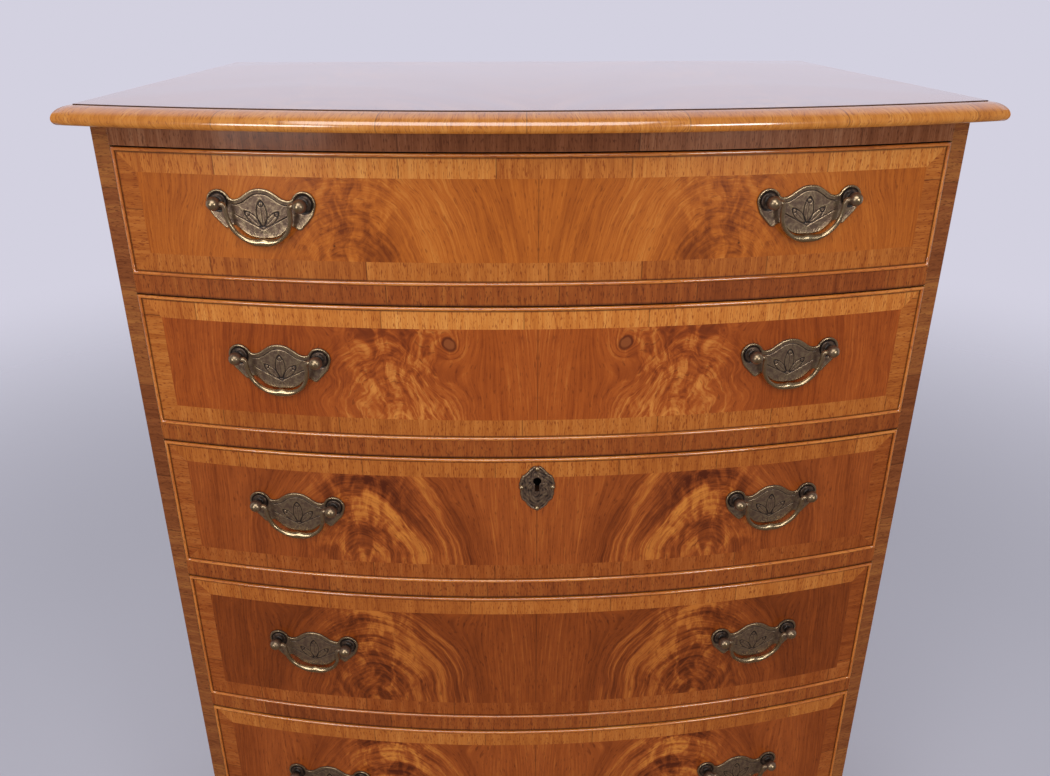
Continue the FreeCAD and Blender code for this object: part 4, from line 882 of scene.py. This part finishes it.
# A bright line 0.9 mm in from the plate's edge: partly rubbed brass, partly painted highlight.
rim_wear_and_sheen = np.exp(-((edge - 0.9) / 0.55) ** 2)
band = np.clip((4.3 - edge) / 3.4, 0, 1)
from_post = np.hypot(np.abs(x) - POST, z)
# Round each post the plate is dished and darkened: partly patina in the recess, partly painted shade cast by the ball.
dish_and_ball_shade = np.clip((9.4 - from_post) / 1.6, 0, 1)
relief = 0.7 + 0.75 * np.sqrt(1 - (1 - round_over) ** 2) + 0.28 * band - 0.36 * cut + 0.06 * burr_and_sheen - 0.5 * dish_and_ball_shade
relief = np.maximum(relief, 0.45)
# Rubbed brass and painted highlight raise the leaf value, patina in the cuts and painted shade round the posts lower
# it.
rub_and_light = 0.34 + 0.42 * rim_wear_and_sheen + 0.06 * band - 0.55 * cut + 0.24 * burr_and_sheen - 0.62 * dish_and_ball_shade
top_sheet, under_sheet = joined(x, -relief, z), joined(x, 0.0, z)[::6]
skirt = np.stack([under_sheet[0], top_sheet[0]])
ball_turn = np.radians(np.linspace(-52, 90, 15))
post_profile = [
    (0.0, 1.0), (7.4, 1.0), (7.4, 1.5), (7.0, 2.1), (6.2, 2.4), (5.6, 2.3), (4.2, 2.6), (3.3, 3.4), (3.1, 4.4),
    (3.5, 5.0)]
post_profile += list(zip(BALL * np.cos(ball_turn), BALL_OUT + BALL * np.sin(ball_turn)))
post_profile += [(0.0, BALL_OUT + BALL)]
post_worn = np.interp(
    [out for radius, out in post_profile], [1, 2.4, 3.4, 7, 11, 14, 16.5], [-0.2, 0.1, -0.4, -0.1, 0.15, 0.4, 0.7])
six = np.radians(np.arange(7) * 60)


def inside_fittings(side):
    """The nut and the end of the shank inside the drawer, at one post: a six-sided nut with eased corners."""
    radius, out = np.array(
        [(0, 0), (4.9, 0), (5.4, 0.4), (5.4, 2.6), (4.9, 2.9), (2.2, 2.9), (2.2, 3.0), (1.6, 3.4), (0, 3.4)]).T[:,
        :, None]
    return joined(side * POST + radius * np.cos(six), NUT_Y + out, radius * np.sin(six))


def metal(grid, side, number, made, leaf):
    """A patch of a handle on a drawer. Its map runs across and up, for metal has no grain."""
    return placed(grid, side, HANDLE_Z[number]), grid[..., ::2] / 1000, made, leaf


fittings = [(top_sheet, 0, rub_and_light), (under_sheet, 0, 0.1), (skirt, 0, 0.2)]
fittings += [(lathe(post_profile, (post, 0)), 0, post_worn[:, None]) for post in (-POST, POST)]
fittings += [(inside_fittings(post), 1, 0.5) for post in (-1, 1)]
for number in DRAWERS:
    patches = [metal(grid, side, number, made, leaf) for side in (-1, 1) for grid, made, leaf in fittings]
    make_piece(f"drawer_{number}_handle_brass", patches, [handle_brass, nut_brass], body=f"drawer_{number}",
               replaces=[f"drawer_{number}_handle_plates"], crease=45)

# ======== bails
# The bail is a cast brass rod that swings in the two balls. Its arms are thin, and it swells to a shaped grip
# whose upper edge rises to a small point in the middle. Hands have rubbed the grip bright.
PLATE_THICK, GRIP_HALF, FREE, GRIP_DOWN = 1.8, 3.2, 0.4, 35
LEAN = math.asin((BALL_OUT - PLATE_THICK - GRIP_HALF - FREE) / GRIP_DOWN)
half_bail = [
    (35.5, 0), (32.6, 0), (30.2, -0.35), (28.9, -1.7), (28.5, -4.2), (28.3, -9.5), (27.4, -15.5), (24.6, -22.4),
    (19.6, -28.2), (13.2, -32.2), (6.2, -33.9), (0, -34.1)]
line = evenly(smooth_path(half_bail + [(-x, z) for x, z in half_bail[-2::-1]], 400), 150)
ahead = np.gradient(line, axis=0)
ahead /= np.linalg.norm(ahead, axis=1)[:, None]
middle = np.abs(line[:, 0])
thick = 2.1 + 0.6 * np.exp(-(middle / 13) ** 4) + 0.15 * np.exp(-((middle - 31) / 1.2) ** 2) * (line[:, 1] > -2)
thick -= 0.5 * np.clip((middle - 32.2) / 1.2, 0, 1)
deep = thick + 0.75 * np.exp(-(middle / 11) ** 4)
peak = 0.7 * np.exp(-(middle / 3.4) ** 2) - 0.15 * np.exp(-((middle - 7) / 3.0) ** 2)
around = np.linspace(0, 2 * np.pi, 21)
in_way = np.sin(around) * deep[:, None] + np.clip(np.sin(around), 0, 1) * (peak * (line[:, 1] < -26))[:, None]
flat_ring = line[:, None] + joined(ahead[:, 1], -ahead[:, 0])[:, None] * in_way[..., None]
rod = joined(flat_ring[..., 0], -np.cos(around) * thick[:, None], flat_ring[..., 1])
caps = [np.stack([np.broadcast_to(rod[end].mean(0), rod[end].shape), rod[end]]) for end in (0, -1)]
lean = np.array([[1, 0, 0], [0, math.cos(LEAN), -math.sin(LEAN)], [0, math.sin(LEAN), math.cos(LEAN)]])
rubbed = np.interp(line[:, 1], [-35, -30, -15, 0], [0.9, 0.8, 0.62, 0.5])[:, None]
hung = [(grid @ lean.T - (0, BALL_OUT, 0), 0, leaf) for grid, leaf in ((rod, rubbed), (caps[0], 0.4), (caps[1], 0.4))]
for number in DRAWERS:
    for side, word in ((-1, "left"), (1, "right")):
        bail = f"drawer_{number}_bail_{word}"
        make_piece(f"{bail}_brass", [metal(grid, side, number, made, leaf) for grid, made, leaf in hung],
                   [handle_brass], body=bail, replaces=[bail], crease=60)

# ======== escutcheon
# A small cast brass shield with a scalloped edge and leaf work in low relief surrounds the keyhole.
# Four domed pins hold it to the front.
key_centre, key_radius, key_slot, key_foot = -3.0, 4.0, 2.2, 11.2
shield_right = [
    (0, 16.3), (4.6, 15.0), (8.4, 10.8), (10.8, 8.0), (14.4, 5.2), (16.4, 0.6), (17.5, -5.6), (16.4, -11.0),
    (16.2, -15.0), (14.4, -20.2), (11.0, -23.4), (9.0, -27.0), (4.8, -30.4), (0, -32.2)]
edge_line = smooth_path(shield_right + [(-x, z) for x, z in shield_right[-2:0:-1]], 480, closed=True)
angles = np.arctan2(edge_line[:, 1] - key_centre, edge_line[:, 0])
far = np.hypot(edge_line[:, 0], edge_line[:, 1] - key_centre)
order = np.argsort(angles)
theta = np.linspace(-np.pi, np.pi, 241)
outer = np.interp(theta, angles[order], far[order], period=2 * np.pi)
outer = outer - 0.35 * (1 - np.abs(np.cos(11 * theta)))
dx, dz = np.cos(theta), np.sin(theta)
circle_far = dz * -key_centre + np.sqrt(np.maximum((dz * key_centre) ** 2 + key_radius ** 2 - key_centre ** 2, 0))
with np.errstate(divide="ignore"):
    slot_far = np.minimum(key_slot / np.abs(dx), np.where(
        dz < 0, (key_foot + key_centre) / np.abs(dz), -key_centre / np.abs(dz)))
inner = np.maximum(circle_far, slot_far)
outward = np.linspace(0, 1, 31)[:, None]
radius = inner + (outer - inner) * outward
x, z = radius * dx, key_centre + radius * dz
from_edge, from_hole = (outer - inner) * (1 - outward), (outer - inner) * outward
scrolls = np.sin(7 * theta + 1.6 * np.sin(0.62 * from_edge)) * np.sin(1.15 * from_edge + 1.2 * np.cos(7 * theta))
leafwork = scrolls * np.clip(from_hole / 2.5, 0, 1) * np.clip(from_edge / 2.4 - 0.4, 0, 1)
relief = 0.8 + 0.9 * np.sqrt(1 - (1 - np.clip(from_edge / 1.2, 0, 1)) ** 2) * 0.8 + 0.3 * leafwork
relief += 0.35 * np.exp(-((from_edge - 1.4) / 0.7) ** 2) + 0.3 * np.exp(-((from_hole - 0.9) / 0.7) ** 2)
face = joined(x, -relief, z)
rub_and_light = 0.22 + 0.28 * leafwork + 0.3 * np.exp(-((from_edge - 1.2) / 0.6) ** 2) * (1 + 0.4 * np.cos(44 * theta))
back = face * (1, 0, 1)
shield = [(face, rub_and_light), (back[::6], 0.1), (np.stack([face[0], back[0]]), 0.0), (np.stack([face[-1], back[-1]]), 0.2)]
dome = np.radians(np.linspace(0, 90, 7))
pin_profile = [(0.0, 0.9), (2.7, 0.9)] + list(zip(2.6 * np.cos(dome), 1.5 + 2.3 * np.sin(dome)))
for pin in ((0, 13.7), (0, -29.6), (14.9, -6.4), (-14.9, -6.4)):
    shield.append((lathe(pin_profile, pin, 20), 0.7))
set_on = (0, float(bow(0.0)), KEYHOLE_Z)
make_piece(
    "escutcheon_brass", [(grid / 1000 + set_on, grid[..., ::2] / 1000, 0, leaf) for grid, leaf in shield],
    [handle_brass], body="drawer_3", replaces=["escutcheon"], crease=45)

# ======== lock
# A brass box lock is let into the back of the third drawer, and its steel bolt rises into the rail above.
# The lock case's face behind the keyhole is painted black: painted shade.
lock_brass = patinated_brass("brass_sheet_dull", "#94794a", "#6f5a36", "#4a3a20", 0.42, painted_shade_before=LOCK_Y + 0.003)
lock_steel, tree, surface = finish("steel_filed_bright", Metallic=1.0, Roughness=0.34)
filed = noise(add(tree, "TexCoord", out="Object"), 700.0, 2.0)
tree.links.new(blend(filed, "#6d6a66", "#a5a29c"), surface["Base Color"])
clad("lock_case", lock_brass)
clad("lock_bolt", lock_steel)

# ======== floor, light and camera
# A plain pale floor fades into an even pale backdrop. A broad soft lamp hangs above and in front, and two small ones
# stand at eye level to each side, whose light runs along the beads and the top's edge.
# Polished faces mirror the pale backdrop behind the chest, and a dimmer room and a brown floor in front of it.
floor_mesh = bpy.data.meshes.new("floor")
floor_mesh.from_pydata([(-9, -9, 0), (9, -9, 0), (9, 9, 0), (-9, 9, 0)], [], [(0, 1, 2, 3)])
paper, tree, surface = finish("pale_floor_matt", Roughness=0.95)
mirrored = add(tree, "LightPath", out="Is Glossy Ray")
from_middle = vector("LENGTH", add(tree, "TexCoord", out="Object"), out="Value")
for socket, given in (("Base Color", blend(mirrored, "#cccbd6", "#6a5a4c")), ("Alpha", fade(from_middle, 4.0, 1.3))):
    tree.links.new(given, surface[socket])
floor_mesh.materials.append(paper)
show("floor", floor_mesh)

world = bpy.data.worlds.new("soft_room")
world.use_nodes = True
tree = world.node_tree
behind = fade(part(add(tree, "TexCoord", out="Generated"), "Y"), -0.3, 0.4)
glossy, sight = (add(tree, "LightPath", out=f"Is {kind} Ray") for kind in ("Glossy", "Camera"))
ambient = blend(sight, blend(glossy, "#bdbdc2", blend(behind, "#6b6766", "#e8e5f5")), "#d3d1e0")
tree.links.new(ambient, tree.nodes["Background"].inputs["Color"])
bpy.context.scene.world = world

for name, place, target, wide, high, power in (
        ("key_lamp", (-0.3, -2.1, 2.7), (0, -0.2, 0.8), 2.2, 1.4, 31.0),
        ("left_window", (-1.5, -2.3, 1.25), (0, -0.2, 0.9), 0.7, 0.8, 11.0),
        ("right_window", (1.3, -2.4, 1.35), (0, -0.2, 0.9), 0.5, 0.8, 11.0)):
    lamp = bpy.data.lights.new(name, "AREA")
    lamp.shape, lamp.size, lamp.size_y, lamp.energy = "RECTANGLE", wide, high, power
    holder = show(name, lamp)
    aim = np.array(target) - np.array(place)
    holder.location = place
    holder.rotation_euler = (math.atan2(math.hypot(aim[0], aim[1]), -aim[2]), 0, math.atan2(-aim[0], aim[1]))

camera = bpy.data.cameras.new("camera")
camera.lens, camera.sensor_width, camera.clip_start, camera.clip_end = 30.346, 36.0, 0.05, 300.0
eye = bpy.context.scene.camera = show("camera", camera)
eye.location = (-0.034775, -0.989478, 1.306626)
eye.rotation_euler = (math.pi / 2 - 0.4159, 0.0004, -0.0317)
bpy.context.scene.view_settings.view_transform = "Standard"
